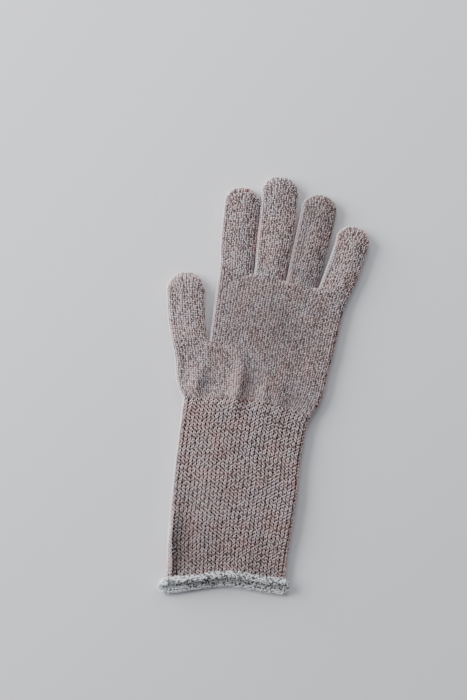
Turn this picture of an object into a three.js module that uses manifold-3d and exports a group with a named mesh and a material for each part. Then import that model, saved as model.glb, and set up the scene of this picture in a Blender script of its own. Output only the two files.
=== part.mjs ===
// A long knitted wool glove lying flat, back of the hand up: a jersey hand with four fingers and a
// thumb, a long open-mesh cuff, and a hem that has curled outwards all round the mouth.
// Millimetres. +X runs across the hand away from the thumb, +Y along the fingers, +Z up.
// The origin is the centre of the footprint, on the surface that the glove lies on.

import * as THREE from "three";
import { mergeVertices } from "three/addons/utils/BufferGeometryUtils.js";
import Module from "manifold-3d";

const wasm = await Module();
wasm.setup();

// Knitted walls and the gap that is kept between two pieces
const WALL = 1.4;
const HEM_WALL = 1.3;
const GAP = 0.3;

// The lying tube's section: flat below, round at both folds, slightly crowned on top
const HAND_SIDE = 7.8;
const PALM_CROWN = 2.6;
const FINGER_CROWN = 1.5;
const CUFF_SIDE = 8.6;
const CUFF_CROWN = 1.7;
const MOUTH_CROWN = 1.0;

// Fingers, from the index finger to the little finger. root, width and bow are shares of the middle
// finger's width, and length is a share of its length. lean, in degrees, and bow are to the right.
// A finger widens from its root over its fill, a share of its straight part.
const FINGER_WIDTH = 26.6;
const FINGER_LENGTH = 74.0;
const FINGERS = [
  { name: "index_finger", root: 0.925, width: 0.977, length: 0.818, lean: -2.7, bow: -0.019 },
  { name: "middle_finger", root: 0.865, width: 1.0, length: 1.0, lean: -0.6, bow: 0.038 },
  { name: "ring_finger", root: 0.88, width: 0.97, length: 0.905, lean: 5.7, bow: 0.019 },
  { name: "little_finger", root: 0.902, width: 0.932, length: 0.678, lean: 12.6, bow: 0.03 },
];
const FINGER_TIP = 11.5;
const FINGER_FILL = 0.45;
const CROTCH_SLOPE = -0.085;
const CROTCH_GAP = 0.6;
const ROOT_SINK = 12;

// Hand and thumb
const WRIST_WIDTH = 94.5;
const WRIST_BOW = 5.5;
const WRIST_SHIFT = -2.9;
const PALM_LENGTH = 94.0;
const KNUCKLE_SHIFT = 14.4;
const WEB_RUN = 5.0;
const THUMB_RISE = 43.0;
const THUMB_ROOT = 26.6;
const THUMB_WIDTH = 28.0;
const THUMB_LENGTH = 52.0;
const THUMB_LEAN = -12.6;
const THUMB_BOW = -0.9;
const THUMB_FILL = 0.8;
const THUMB_TIP = 14.0;
const GUSSET_REACH = 22;

// Cuff, whose lower half is a little narrower and whose mouth is cut in a shallow wave
const CUFF_LENGTH = 131.0;
const MOUTH_WIDTH = 86.0;
const MOUTH_SHIFT = -1.5;
const MOUTH_WAVE = 13.5;
const MOUTH_SETBACK = 4.0;

// Hem: the radius of its curl at mid wall, how far it turns, how flat and how deep the lower curl
// is pressed by what lies on it, and how much longer the lower layer is
const CURL_RADIUS = 1.95;
const CURL_TURN = 285;
const CURL_SQUASH = 0.8;
const CURL_SINK = 0.2;
const HEM_STAGGER = 6.8;
const LIFT_RUN = 34;

// How finely the sections are cut
const HAND_STEPS = { bottom: 4, side: 4, top: 16 };
const FINGER_STEPS = { bottom: 3, side: 4, top: 5 };
const CUFF_STEPS = { bottom: 8, side: 4, top: 16 };

// Round ends: the angles at which a tip is cut, how full it is in plan and in height, and the level
// that it closes at, as a share of the side height
const TIP_ANGLES = [24, 44, 60, 74, 84];
const TIP_FULLNESS = 0.9;
const TIP_HEIGHT = 0.7;
const TIP_LEVEL = 0.44;
const CURL_STEPS = 9;

// Palm edges from the wrist (0) to the knuckles (1): how far each edge has gone from its place
// at the wrist to its place at the knuckles.
const PALM_ROWS = [
  { at: 0.0, left: 0.0, right: 0.0 },
  { at: 0.05, left: 0.11, right: 0.16 },
  { at: 0.1, left: 0.22, right: 0.3 },
  { at: 0.16, left: 0.35, right: 0.39 },
  { at: 0.22, left: 0.48, right: 0.44 },
  { at: 0.3, left: 0.65, right: 0.48 },
  { at: 0.44, left: 0.96, right: 0.56 },
  { at: 0.6, left: 1.0, right: 0.65 },
  { at: 0.76, left: 1.02, right: 0.74 },
  { at: 0.9, left: 1.01, right: 0.85 },
];

// The gusset under the thumb, from the wrist (0) to the thumb's crotch (1): how far its outer edge
// stands out from the straight line between the two, as a share of the thumb's width.
const GUSSET_ROWS = [
  { at: 0.01, bulge: 0.0 },
  { at: 0.12, bulge: 0.05 },
  { at: 0.28, bulge: 0.075 },
  { at: 0.5, bulge: 0.04 },
  { at: 0.78, bulge: 0.0 },
];

// Cuff widths from the mouth (0) to the wrist (1): each edge's way from its place at the mouth to
// its place at the wrist.
const CUFF_ROWS = [
  { at: 0.0, left: 0.0, right: 0.0 },
  { at: 0.1, left: 0.2, right: -0.18 },
  { at: 0.22, left: 0.52, right: -0.22 },
  { at: 0.36, left: 0.72, right: 0.0 },
  { at: 0.54, left: 0.88, right: 0.22 },
  { at: 0.68, left: 0.96, right: -0.2 },
  { at: 0.82, left: 0.98, right: -0.1 },
  { at: 0.93, left: 1.0, right: 0.2 },
  { at: 1.0, left: 1.0, right: 1.0 },
];

// How high the upper layer's mouth stands across the cuff, as a share of the wave
const WAVE_ROWS = [
  { across: -0.5, rise: 0.08 },
  { across: -0.4, rise: 0.29 },
  { across: -0.28, rise: 0.5 },
  { across: -0.16, rise: 0.75 },
  { across: -0.04, rise: 0.95 },
  { across: 0.1, rise: 1.0 },
  { across: 0.3, rise: 0.91 },
  { across: 0.5, rise: 0.94 },
];

// Soft folds of the upper layer. across is a share of the wrist's width from the hand's axis, along
// a share of the palm's length above the wrist, or below it of the cuff's length. wide and long are
// shares of the same two sizes, and high is a share of the hand's side height.
const FOLD_ROWS = [
  { across: -0.45, along: 0.13, wide: 0.07, long: 0.14, high: 0.13, lean: 18 },
  { across: -0.33, along: 0.14, wide: 0.06, long: 0.14, high: -0.12, lean: 8 },
  { across: -0.13, along: 0.17, wide: 0.055, long: 0.2, high: 0.17, lean: 0 },
  { across: -0.01, along: 0.12, wide: 0.06, long: 0.15, high: -0.12, lean: 0 },
  { across: 0.1, along: 0.13, wide: 0.05, long: 0.13, high: 0.1, lean: -4 },
  { across: 0.2, along: 0.12, wide: 0.06, long: 0.14, high: 0.06, lean: -10 },
  { across: 0.33, along: 0.1, wide: 0.07, long: 0.14, high: -0.14, lean: -20 },
  { across: -0.02, along: 0.66, wide: 0.16, long: 0.4, high: 0.08, lean: -4 },
  { across: 0.3, along: 0.62, wide: 0.12, long: 0.35, high: -0.07, lean: -6 },
  { across: -0.46, along: -0.85, wide: 0.05, long: 0.4, high: 0.12, lean: 4 },
  { across: -0.38, along: -0.8, wide: 0.07, long: 0.24, high: -0.09, lean: 4 },
  { across: -0.16, along: -0.6, wide: 0.12, long: 0.5, high: 0.09, lean: 0 },
  { across: 0.28, along: -0.78, wide: 0.1, long: 0.22, high: -0.09, lean: 0 },
  { across: 0.44, along: -0.5, wide: 0.06, long: 0.5, high: 0.06, lean: 0 },
];

const wool = new THREE.MeshStandardMaterial({ color: 0x9a8e90, roughness: 0.95, metalness: 0 });
const mesh_wool = new THREE.MeshStandardMaterial({ color: 0x8f8284, roughness: 0.95, metalness: 0 });
const marl_wool = new THREE.MeshStandardMaterial({ color: 0xa3a4a6, roughness: 0.95, metalness: 0 });

const lerp = THREE.MathUtils.lerp;
const radians = THREE.MathUtils.degToRad;
const smooth = (value) => THREE.MathUtils.smoothstep(value, 0, 1);

// Straight-line reading of a table between its rows.
function readRows(rows, key, column, value) {
  const next = rows.findIndex((row) => row[key] >= value);
  if (next < 0) return rows[rows.length - 1][column];
  if (next === 0) return rows[0][column];
  const [low, high] = [rows[next - 1], rows[next]];
  return lerp(low[column], high[column], (value - low[key]) / (high[key] - low[key]));
}

// Places that follow from the sizes: wrist and knuckle edges, and the line through the crotches.
const wrist = {
  left: WRIST_SHIFT - WRIST_WIDTH / 2,
  right: WRIST_SHIFT + WRIST_WIDTH / 2,
  y: CUFF_LENGTH,
};
const knuckleWidth =
  FINGERS.reduce((sum, finger) => sum + finger.root * FINGER_WIDTH, 0) +
  CROTCH_GAP * (FINGERS.length - 1);
const knuckleAxis = WRIST_SHIFT + KNUCKLE_SHIFT;
const knuckle = {
  left: knuckleAxis - knuckleWidth / 2,
  right: knuckleAxis + knuckleWidth / 2,
};
const crotchY = (x) => CUFF_LENGTH + PALM_LENGTH + CROTCH_SLOPE * (x - knuckleAxis);

// The seam between cuff and hand bows towards the fingers in the middle.
function seamY(x) {
  const share = (x - wrist.left) / (wrist.right - wrist.left);
  return wrist.y + WRIST_BOW * Math.max(0, 1 - (2 * share - 1) ** 2);
}

// Height that the soft folds add to the upper layer at a place in the plan.
function foldHeight(x, y) {
  let height = 0;
  for (const fold of FOLD_ROWS) {
    const reach = fold.along < 0 ? CUFF_LENGTH : PALM_LENGTH;
    const turn = radians(fold.lean);
    const dx = x - WRIST_SHIFT - fold.across * WRIST_WIDTH;
    const dy = y - wrist.y - fold.along * reach;
    const across = (dx * Math.cos(turn) - dy * Math.sin(turn)) / (fold.wide * WRIST_WIDTH);
    const along = (dx * Math.sin(turn) + dy * Math.cos(turn)) / (fold.long * reach);
    height += fold.high * HAND_SIDE * Math.exp(-(across ** 2) - along ** 2);
  }
  return height;
}

// One section of a lying tube as points (across, up, top). top says how much of the soft folds a
// point takes: none on the flat underside, all on the upper layer.
function tubeProfile(halfWidth, side, crown, steps) {
  const round = Math.min(side / 2, halfWidth);
  const flat = halfWidth - round;
  const points = [];
  for (let i = 0; i < steps.bottom; i++) {
    points.push({ across: lerp(-flat, flat, i / steps.bottom), up: 0, top: 0 });
  }
  for (let i = 0; i < steps.side; i++) {
    const turn = Math.PI * (i / steps.side - 0.5);
    const up = (side / 2) * (1 + Math.sin(turn));
    points.push({ across: flat + round * Math.cos(turn), up, top: up / side });
  }
  for (let i = 0; i < steps.top; i++) {
    const across = lerp(flat, -flat, i / steps.top);
    const dome = flat > 0 ? 1 - (across / flat) ** 2 : 1;
    points.push({ across, up: side + crown * dome, top: 1 });
  }
  for (let i = 0; i < steps.side; i++) {
    const turn = Math.PI * (0.5 + i / steps.side);
    const up = (side / 2) * (1 + Math.sin(turn));
    points.push({ across: -flat + round * Math.cos(turn), up, top: up / side });
  }
  return points;
}

// A section's points in space. inset takes it in by a wall's thickness all round, and shrink
// closes it towards a point a little above the surface, as at a fingertip.
function placeSection(section, inset, steps) {
  const halfWidth = section.halfWidth - inset;
  const profile = tubeProfile(halfWidth, section.side - 2 * inset, section.crown, steps);
  const shrink = section.shrink ?? 1;
  const middle = TIP_LEVEL * section.side;
  return profile.map((point) => {
    const x = section.x + point.across * section.across.x;
    const y = section.y + point.across * section.across.y;
    const up = point.up + inset + point.top * foldHeight(x, y);
    return new THREE.Vector3(x, y, middle + (up - middle) * shrink);
  });
}

// Triangles between rings of points, added to a list of corners.
function joinRings(corners, rings, closed) {
  const count = rings[0].length;
  const last = closed ? rings.length : rings.length - 1;
  for (let i = 0; i < last; i++) {
    const [low, high] = [rings[i], rings[(i + 1) % rings.length]];
    for (let j = 0; j < count; j++) {
      const k = (j + 1) % count;
      corners.push(low[j], high[j], high[k], low[j], high[k], low[k]);
    }
  }
}

// A fan of triangles that closes a ring towards its middle.
function closeRing(corners, ring, forward) {
  const middle = ring.reduce((sum, point) => sum.add(point), new THREE.Vector3());
  middle.divideScalar(ring.length);
  ring.forEach((point, j) => {
    const next = ring[(j + 1) % ring.length];
    corners.push(middle, ...(forward ? [next, point] : [point, next]));
  });
}

function geometryOf(corners) {
  return new THREE.BufferGeometry().setFromPoints(corners);
}

// A manifold-3d solid of a closed geometry.
function solidOf(geometry) {
  const bare = new THREE.BufferGeometry();
  const flat = geometry.index ? geometry.toNonIndexed() : geometry;
  bare.setAttribute("position", flat.getAttribute("position"));
  const merged = mergeVertices(bare, 1e-4);
  return new wasm.Manifold(
    new wasm.Mesh({
      numProp: 3,
      vertProperties: merged.getAttribute("position").array,
      triVerts: new Uint32Array(merged.index.array),
    }),
  );
}

function geometryOfSolid(solid) {
  const made = solid.getMesh();
  const corners = [];
  for (const index of made.triVerts) {
    corners.push(new THREE.Vector3().fromArray(made.vertProperties, index * made.numProp));
  }
  return geometryOf(corners);
}

// A closed solid through sections, its faces pointing out.
function loft(sections, inset, steps) {
  const rings = sections.map((section) => placeSection(section, inset, steps));
  const corners = [];
  joinRings(corners, rings, false);
  closeRing(corners, rings[0], false);
  closeRing(corners, rings[rings.length - 1], true);
  return solidOf(geometryOf(corners));
}

// A tall prism over an outline in the plan, used to cut pieces apart.
function prism(outline) {
  const shape = new THREE.Shape(outline.map(([x, y]) => new THREE.Vector2(x, y)));
  const height = 6 * HAND_SIDE;
  const geometry = new THREE.ExtrudeGeometry(shape, { depth: height, bevelEnabled: false });
  geometry.translate(0, 0, -height / 3);
  return solidOf(geometry);
}

// Sections of a finger or thumb from its root, below the crotch, to its round tip.
function stallSections(stall, inset) {
  const { rootX, rootY, lean, bow, root, width, length, tip, fill, sink } = stall;
  const along = new THREE.Vector2(Math.sin(radians(lean)), Math.cos(radians(lean)));
  const across = new THREE.Vector2(along.y, -along.x);
  const straight = length - tip;
  const at = (distance, halfWidth, crown, shrink) => {
    const share = THREE.MathUtils.clamp(distance / straight, 0, 1);
    const aside = 4 * bow * share * (1 - share);
    const x = rootX + along.x * distance + across.x * aside;
    const y = rootY + along.y * distance + across.y * aside;
    return { x, y, across, halfWidth, side: HAND_SIDE, crown, shrink };
  };
  const sections = [];
  if (sink > 0) sections.push(at(-sink, root / 2, 0, 1));
  for (const share of [0, 0.15, 0.3, 0.5, 0.75, 1]) {
    const spread = smooth(Math.min(1, share / fill));
    sections.push(at(straight * share, lerp(root, width, spread) / 2, FINGER_CROWN, 1));
  }
  for (const angle of TIP_ANGLES) {
    const turn = radians(angle);
    const half = (width / 2 - inset) * Math.cos(turn) ** TIP_FULLNESS + inset;
    const distance = straight + (tip - inset) * Math.sin(turn);
    sections.push(at(distance, half, FINGER_CROWN, Math.cos(turn) ** TIP_HEIGHT));
  }
  return sections;
}

// The hand's main tube, from a little below the seam at the wrist to the web between the fingers.
function palmSections(inset) {
  const rows = [{ left: [wrist.left, wrist.y - WEB_RUN], right: [wrist.right, wrist.y - WEB_RUN] }];
  for (const row of PALM_ROWS) {
    rows.push({
      left: [
        lerp(wrist.left, knuckle.left, row.left),
        lerp(wrist.y, crotchY(knuckle.left) - WEB_RUN, row.at),
      ],
      right: [
        lerp(wrist.right, knuckle.right, row.right),
        lerp(wrist.y, crotchY(knuckle.right) - WEB_RUN, row.at),
      ],
      crown: lerp(PALM_CROWN, FINGER_CROWN, smooth(row.at)),
    });
  }
  const run = WEB_RUN - inset;
  for (const angle of [0, 35, 62, 82]) {
    const back = WEB_RUN - run * Math.sin(radians(angle));
    rows.push({
      left: [knuckle.left, crotchY(knuckle.left) - back],
      right: [knuckle.right, crotchY(knuckle.right) - back],
      crown: FINGER_CROWN,
      shrink: Math.cos(radians(angle)) ** 0.8,
    });
  }
  return rows.map((row) => {
    const across = new THREE.Vector2(row.right[0] - row.left[0], row.right[1] - row.left[1]);
    return {
      x: (row.left[0] + row.right[0]) / 2,
      y: (row.left[1] + row.right[1]) / 2,
      halfWidth: across.length() / 2,
      across: across.normalize(),
      side: HAND_SIDE,
      crown: row.crown ?? PALM_CROWN,
      shrink: row.shrink,
    };
  });
}

// The thumb leaves the hand at its own crotch, above a gusset that widens from the wrist.
const thumbLean = new THREE.Vector2(Math.sin(radians(THUMB_LEAN)), Math.cos(radians(THUMB_LEAN)));
const thumbAcross = new THREE.Vector2(thumbLean.y, -thumbLean.x);
const thumbCrotch = new THREE.Vector2(knuckle.left - CROTCH_GAP, wrist.y + THUMB_RISE);
const thumbRoot = thumbCrotch.clone().addScaledVector(thumbAcross, -THUMB_ROOT / 2);
const thumbOuter = thumbCrotch.clone().addScaledVector(thumbAcross, -THUMB_ROOT);

function thumbSections(inset) {
  const inner = new THREE.Vector2(wrist.left + GUSSET_REACH, wrist.y + GUSSET_REACH / 2);
  const corner = new THREE.Vector2(wrist.left, wrist.y + GAP);
  const gusset = GUSSET_ROWS.map((row) => {
    const left = corner.clone().lerp(thumbOuter, row.at);
    left.x -= row.bulge * THUMB_WIDTH;
    const right = inner.clone().lerp(thumbCrotch, row.at);
    const across = right.clone().sub(left);
    return {
      x: (left.x + right.x) / 2,
      y: (left.y + right.y) / 2,
      halfWidth: across.length() / 2,
      across: across.normalize(),
      side: HAND_SIDE,
      crown: FINGER_CROWN,
    };
  });
  const stall = {
    rootX: thumbRoot.x,
    rootY: thumbRoot.y,
    lean: THUMB_LEAN,
    bow: THUMB_BOW,
    root: THUMB_ROOT,
    width: THUMB_WIDTH,
    length: THUMB_LENGTH,
    tip: THUMB_TIP,
    fill: THUMB_FILL,
    sink: 0,
  };
  return [...gusset, ...stallSections(stall, inset)];
}

// Each finger's sizes, and where it starts on the line through the crotches.
function fingerStalls() {
  let edge = knuckle.left;
  return FINGERS.map(({ name, root, width, length, lean, bow }) => {
    const rootX = edge + (root * FINGER_WIDTH) / 2;
    edge += root * FINGER_WIDTH + CROTCH_GAP;
    return {
      name,
      rootX,
      rootY: crotchY(rootX),
      lean,
      bow: bow * FINGER_WIDTH,
      root: root * FINGER_WIDTH,
      width: width * FINGER_WIDTH,
      length: length * FINGER_LENGTH,
      tip: FINGER_TIP,
      fill: FINGER_FILL,
      sink: ROOT_SINK,
    };
  });
}

// The hand and its five stalls as solids, cut apart at the crotches.
function buildHand() {
  const reach = 3 * PALM_LENGTH;
  const [farLeft, farRight] = [wrist.left - reach, wrist.right + reach];
  const above = (gap) =>
    prism([
      [farLeft, crotchY(farLeft) + gap],
      [farRight, crotchY(farRight) + gap],
      [farRight, crotchY(farRight) + reach],
      [farLeft, crotchY(farLeft) + reach],
    ]);
  const belowSeam = [...Array(CUFF_STEPS.top + 1).keys()].map((i) => {
    const x = lerp(wrist.left, wrist.right, i / CUFF_STEPS.top);
    return [x, seamY(x) + GAP / 2];
  });
  belowSeam.push([farRight, wrist.y + GAP / 2], [farRight, -reach], [farLeft, -reach]);
  belowSeam.push([farLeft, wrist.y + GAP / 2]);
  const thumbSide = (gap) => {
    const start = thumbCrotch.clone().addScaledVector(thumbLean, gap);
    const low = [THUMB_WIDTH, -2 * THUMB_WIDTH].map((reach) =>
      start.clone().addScaledVector(thumbAcross, reach),
    );
    const high = low.map((point) => point.clone().addScaledVector(thumbLean, 2 * THUMB_LENGTH));
    return prism([low[0], high[0], high[1], low[1]].map((point) => [point.x, point.y]));
  };

  const stalls = fingerStalls().map((finger) => ({
    name: finger.name,
    outer: loft(stallSections(finger, 0), 0, FINGER_STEPS),
    inner: loft(stallSections(finger, WALL), WALL, FINGER_STEPS),
  }));
  const thumb = {
    outer: loft(thumbSections(0), 0, FINGER_STEPS),
    inner: loft(thumbSections(WALL), WALL, FINGER_STEPS),
  };

  const tube = {
    outer: loft(palmSections(0), 0, HAND_STEPS),
    inner: loft(palmSections(WALL), WALL, HAND_STEPS),
  };
  const hollow = [tube.inner, thumb.inner, ...stalls.map((stall) => stall.inner)];
  const gusset = thumb.outer.subtract(thumbSide(0));
  const palm = [tube.outer, gusset, ...stalls.map((stall) => stall.outer)]
    .reduce((sum, solid) => sum.add(solid))
    .subtract(hollow.reduce((sum, solid) => sum.add(solid)))
    .subtract(above(0))
    .subtract(prism(belowSeam));

  const pieces = stalls.map((stall) => ({
    name: stall.name,
    solid: stall.outer.subtract(stall.inner).intersect(above(GAP)),
  }));
  pieces.unshift({
    name: "thumb",
    solid: thumb.outer.subtract(thumb.inner).intersect(thumbSide(GAP)),
  });
  pieces.unshift({ name: "palm", solid: palm });
  return pieces;
}

// The mouth of the cuff at a place across it. The lower layer, where top is 0, is the longer one.
function mouthY(x, top) {
  const across = x / MOUTH_WIDTH;
  const rise = readRows(WAVE_ROWS, "across", "rise", across) * MOUTH_WAVE;
  return rise - MOUTH_SETBACK - HEM_STAGGER * (1 - smooth(top));
}

// How far the curl under the lower layer lifts the cuff off the surface.
const mouthLift = CURL_SQUASH * (2 * CURL_RADIUS + HEM_WALL / 2) - WALL / 2 - CURL_SINK;
const liftAt = (y) => mouthLift * (1 - smooth(Math.min(1, Math.max(0, y) / LIFT_RUN)));

// One ring of the cuff's wall, at a share of the way from the mouth to the seam.
function cuffRing(share, inset) {
  const mouthLeft = MOUTH_SHIFT - MOUTH_WIDTH / 2;
  const mouthRight = mouthLeft + MOUTH_WIDTH;
  const left = lerp(mouthLeft, wrist.left, readRows(CUFF_ROWS, "at", "left", share));
  const right = lerp(mouthRight, wrist.right, readRows(CUFF_ROWS, "at", "right", share));
  const side = lerp(CUFF_SIDE, HAND_SIDE, smooth(share));
  const crown = lerp(MOUTH_CROWN, CUFF_CROWN, smooth(Math.min(1, share / 0.3)));
  const profile = tubeProfile((right - left) / 2 - inset, side - 2 * inset, crown, CUFF_STEPS);
  return profile.map((point) => {
    const x = (left + right) / 2 + point.across;
    const y = lerp(mouthY(x, point.top), seamY(x) - GAP / 2, share);
    const fold = point.top * foldHeight(x, y);
    return new THREE.Vector3(x, y, point.up + inset + fold + liftAt(y));
  });
}

// The cuff is an open tube: an outer wall, an inner wall and the two rims between them.
function buildCuff() {
  const shares = CUFF_ROWS.map((row) => row.at);
  const outer = shares.map((share) => cuffRing(share, 0));
  const inner = shares.map((share) => cuffRing(share, WALL)).reverse();
  const corners = [];
  joinRings(corners, [...outer, ...inner], true);
  return geometryOf(corners);
}

// The hem continues the cuff's wall and curls outwards through most of a turn.
function buildHem() {
  const outer = cuffRing(0, 0);
  const inner = cuffRing(0, WALL);
  const count = outer.length;
  const middle = outer.map((point, i) => point.clone().add(inner[i]).multiplyScalar(0.5));
  const outward = middle.map((point, i) => {
    const [last, next] = [middle[(i + count - 1) % count], middle[(i + 1) % count]];
    const run = next.clone().sub(last);
    const out = new THREE.Vector3(run.z, 0, -run.x).normalize();
    if (out.z < 0) out.z *= CURL_SQUASH;
    return out;
  });
  const profile = [];
  const turns = [...Array(CURL_STEPS + 1).keys()].map((i) => radians((CURL_TURN * i) / CURL_STEPS));
  for (const turn of turns) profile.push({ turn, radius: CURL_RADIUS - HEM_WALL / 2 });
  for (const turn of turns.reverse()) profile.push({ turn, radius: CURL_RADIUS + HEM_WALL / 2 });
  const rings = middle.map((point, i) =>
    profile.map(({ turn, radius }) => {
      const out = CURL_RADIUS - radius * Math.cos(turn);
      const down = radius * Math.sin(turn) + GAP;
      const place = point.clone().addScaledVector(outward[i], out);
      return new THREE.Vector3(place.x, place.y - down, Math.max(0, place.z));
    }),
  );
  const corners = [];
  joinRings(corners, rings, true);
  return geometryOf(corners);
}

// Adds one named mesh.
function addPiece(group, name, geometry, material) {
  const piece = new THREE.Mesh(geometry, material);
  piece.name = name;
  group.add(piece);
}

const glove = new THREE.Group();
for (const { name, solid } of buildHand()) addPiece(glove, name, geometryOfSolid(solid), wool);
addPiece(glove, "cuff", buildCuff(), mesh_wool);
addPiece(glove, "rolled_hem", buildHem(), marl_wool);

// The footprint's centre goes to the origin.
const box = new THREE.Box3().setFromObject(glove);
glove.position.set(-(box.min.x + box.max.x) / 2, -(box.min.y + box.max.y) / 2, -box.min.z);

export default glove;
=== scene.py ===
"""A long knitted wool glove, lying flat with the back of the hand up.

The hand, its fingers and its thumb are fine wool jersey, the long cuff is an open mesh knit, and
the hem is a marled wool that has curled outwards. Each knitted section is a thin ground wall that
carries its stitches as real strands of yarn. Lengths are millimetres on the glove's own plan, with
the hem near y = 0 and the fingers along +Y, until a mesh is made.
"""

import logging
import math
from dataclasses import dataclass, field, replace
from enum import Enum
from typing import Callable, Iterable, Sequence

import bpy
import numpy as np
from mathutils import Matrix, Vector

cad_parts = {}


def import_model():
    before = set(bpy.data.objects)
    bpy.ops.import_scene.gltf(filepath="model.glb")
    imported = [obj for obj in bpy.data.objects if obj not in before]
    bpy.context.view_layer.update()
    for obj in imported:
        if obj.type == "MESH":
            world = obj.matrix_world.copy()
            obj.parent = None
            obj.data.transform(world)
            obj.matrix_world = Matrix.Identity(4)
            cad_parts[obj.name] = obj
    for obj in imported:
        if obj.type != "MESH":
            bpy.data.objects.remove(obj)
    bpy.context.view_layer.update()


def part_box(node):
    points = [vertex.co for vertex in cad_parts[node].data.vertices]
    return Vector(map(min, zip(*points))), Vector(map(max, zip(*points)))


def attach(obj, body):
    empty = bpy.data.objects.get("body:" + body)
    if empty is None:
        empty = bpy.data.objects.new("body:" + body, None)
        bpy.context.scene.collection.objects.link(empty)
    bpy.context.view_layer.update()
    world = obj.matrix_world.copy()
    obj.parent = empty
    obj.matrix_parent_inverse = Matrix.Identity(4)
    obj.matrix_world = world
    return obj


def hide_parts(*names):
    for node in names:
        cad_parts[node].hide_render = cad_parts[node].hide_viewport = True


LOG = logging.getLogger("wool_glove")
Array = np.ndarray


# Shared sizes

@dataclass(frozen=True)
class HandSizes:
    """Sizes of the lying hand, the same as the part's."""

    wall: float = 1.4
    side: float = 7.8
    palm_crown: float = 2.6
    finger_crown: float = 1.5
    wrist_left: float = -50.15
    wrist_right: float = 44.35
    wrist_y: float = 131.0
    wrist_bow: float = 5.5
    wrist_shift: float = -2.9
    wrist_width: float = 94.5
    palm_length: float = 94.0
    knuckle_left: float = -36.9
    knuckle_right: float = 59.9
    crotch_slope: float = -0.085
    crotch_gap: float = 0.6
    thumb_rise: float = 43.0
    cuff_length: float = 131.0

    def crotch_y(self, x: float) -> float:
        """Level of the line through the finger crotches at x."""
        axis = (self.knuckle_left + self.knuckle_right) / 2
        return self.wrist_y + self.palm_length + self.crotch_slope * (x - axis)

    def wrist_curve(self, share: Array) -> Array:
        """How far the wrist's seam bows towards the fingers at shares of its width."""
        return self.wrist_bow * np.clip(1 - (2 * share - 1) ** 2, 0, 1)


@dataclass(frozen=True)
class StallSizes:
    """Sizes of one finger or thumb: where its root's middle lies, and how it runs to its tip."""

    name: str
    root_x: float
    root_y: float
    root: float
    width: float
    length: float
    lean: float
    bow: float
    tip: float = 11.5
    fill: float = 0.45


@dataclass(frozen=True)
class Gauge:
    """Spacing of a knit: across one wale or cell, and along one course or cell."""

    wale: float
    course: float


HAND = HandSizes()
JERSEY = Gauge(wale=1.87, course=1.3)
MESH = Gauge(wale=2.94, course=2.6)
PURL = Gauge(wale=1.22, course=1.22)

# Fingers from the index finger on: name, root's width, width, length, lean and bow.
FINGER_ROWS = (
    ("index_finger", 24.6, 26.0, 60.5, -2.7, -0.5),
    ("middle_finger", 23.0, 26.6, 74.0, -0.6, 1.0),
    ("ring_finger", 23.4, 25.8, 67.0, 5.7, 0.5),
    ("little_finger", 24.0, 24.8, 50.2, 12.6, 0.8),
)

# The thumb, whose root is placed from its crotch.
THUMB = StallSizes("thumb", 0.0, 0.0, 26.6, 28.0, 52.0, -12.6, -0.9, 14.0, 0.8)

# How much paler or darker each finger, and last the thumb, is drawn than the rest. The ring
# finger's darkening is painted shade, where it lies lower than its neighbours.
STALL_SHADES = (-0.02, -0.01, -0.3, 0.02, 0.2)

# Clouds of paler or darker colour: middle across and along, width, length and amount. The first
# three darken patches of the palm and the next four patches of the cuff, the one at its lower left
# being painted shade in the dip beside its left ridge; the last six are painted highlights and
# shade on the soft gathers above the wrist.
DARK_PATCHES_AND_PAINTED_LIGHT = (
    (8.0, 192.0, 48.0, 44.0, -0.29),
    (-26.0, 196.0, 14.0, 34.0, -0.1),
    (14.0, 198.0, 20.0, 24.0, -0.1),
    # Painted shade in the dip right of the cuff's left ridge.
    (-34.0, 24.0, 14.0, 34.0, -0.3),
    (30.0, 16.0, 20.0, 18.0, -0.18),
    (-2.0, 14.0, 40.0, 18.0, -0.12),
    (0.0, 80.0, 60.0, 90.0, -0.04),
    # Painted highlights and shade on the soft gathers above the wrist, from here on.
    (-46.8, 145.0, 5.0, 11.0, 0.36),
    (-34.2, 146.0, 5.0, 12.0, -0.2),
    (-15.4, 149.5, 4.6, 12.0, 0.5),
    (-3.6, 149.0, 5.4, 11.0, -0.26),
    (5.3, 145.0, 3.4, 8.0, 0.36),
    (30.5, 139.5, 6.5, 8.0, -0.24),
)

# How far the hand's edges stand outside the wrist's, from the wrist (0) to the thumb's root (1).
LOWER_AT = (0.0, 0.1, 0.22, 0.36, 0.5, 0.63, 0.77, 0.9, 1.0)
LOWER_LEFT = (0.0, 3.3, 5.5, 7.2, 8.3, 9.2, 10.3, 11.7, 13.4)
LOWER_RIGHT = (0.0, 2.2, 4.6, 6.1, 6.9, 7.3, 7.7, 8.3, 9.0)

# The right edge's way from the thumb's level (0) to the knuckles (1), as a share of its widening.
UPPER_AT = (0.0, 0.18, 0.38, 0.58, 0.78, 0.88, 1.0)
UPPER_RIGHT = (0.0, 0.15, 0.26, 0.41, 0.58, 0.72, 1.0)

# Cuff edges from the mouth (0) to the wrist (1), and how high the mouth stands across the cuff.
CUFF_AT = (0.0, 0.1, 0.22, 0.36, 0.54, 0.68, 0.82, 0.93, 1.0)
CUFF_LEFT = (0.0, 0.2, 0.52, 0.72, 0.88, 0.96, 0.98, 1.0, 1.0)
CUFF_RIGHT = (0.0, -0.18, -0.22, 0.0, 0.22, -0.2, -0.1, 0.2, 1.0)
WAVE_ACROSS = (-0.5, -0.4, -0.28, -0.16, -0.04, 0.1, 0.3, 0.5)
WAVE_RISE = (0.08, 0.29, 0.5, 0.75, 0.95, 1.0, 0.91, 0.94)

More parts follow.
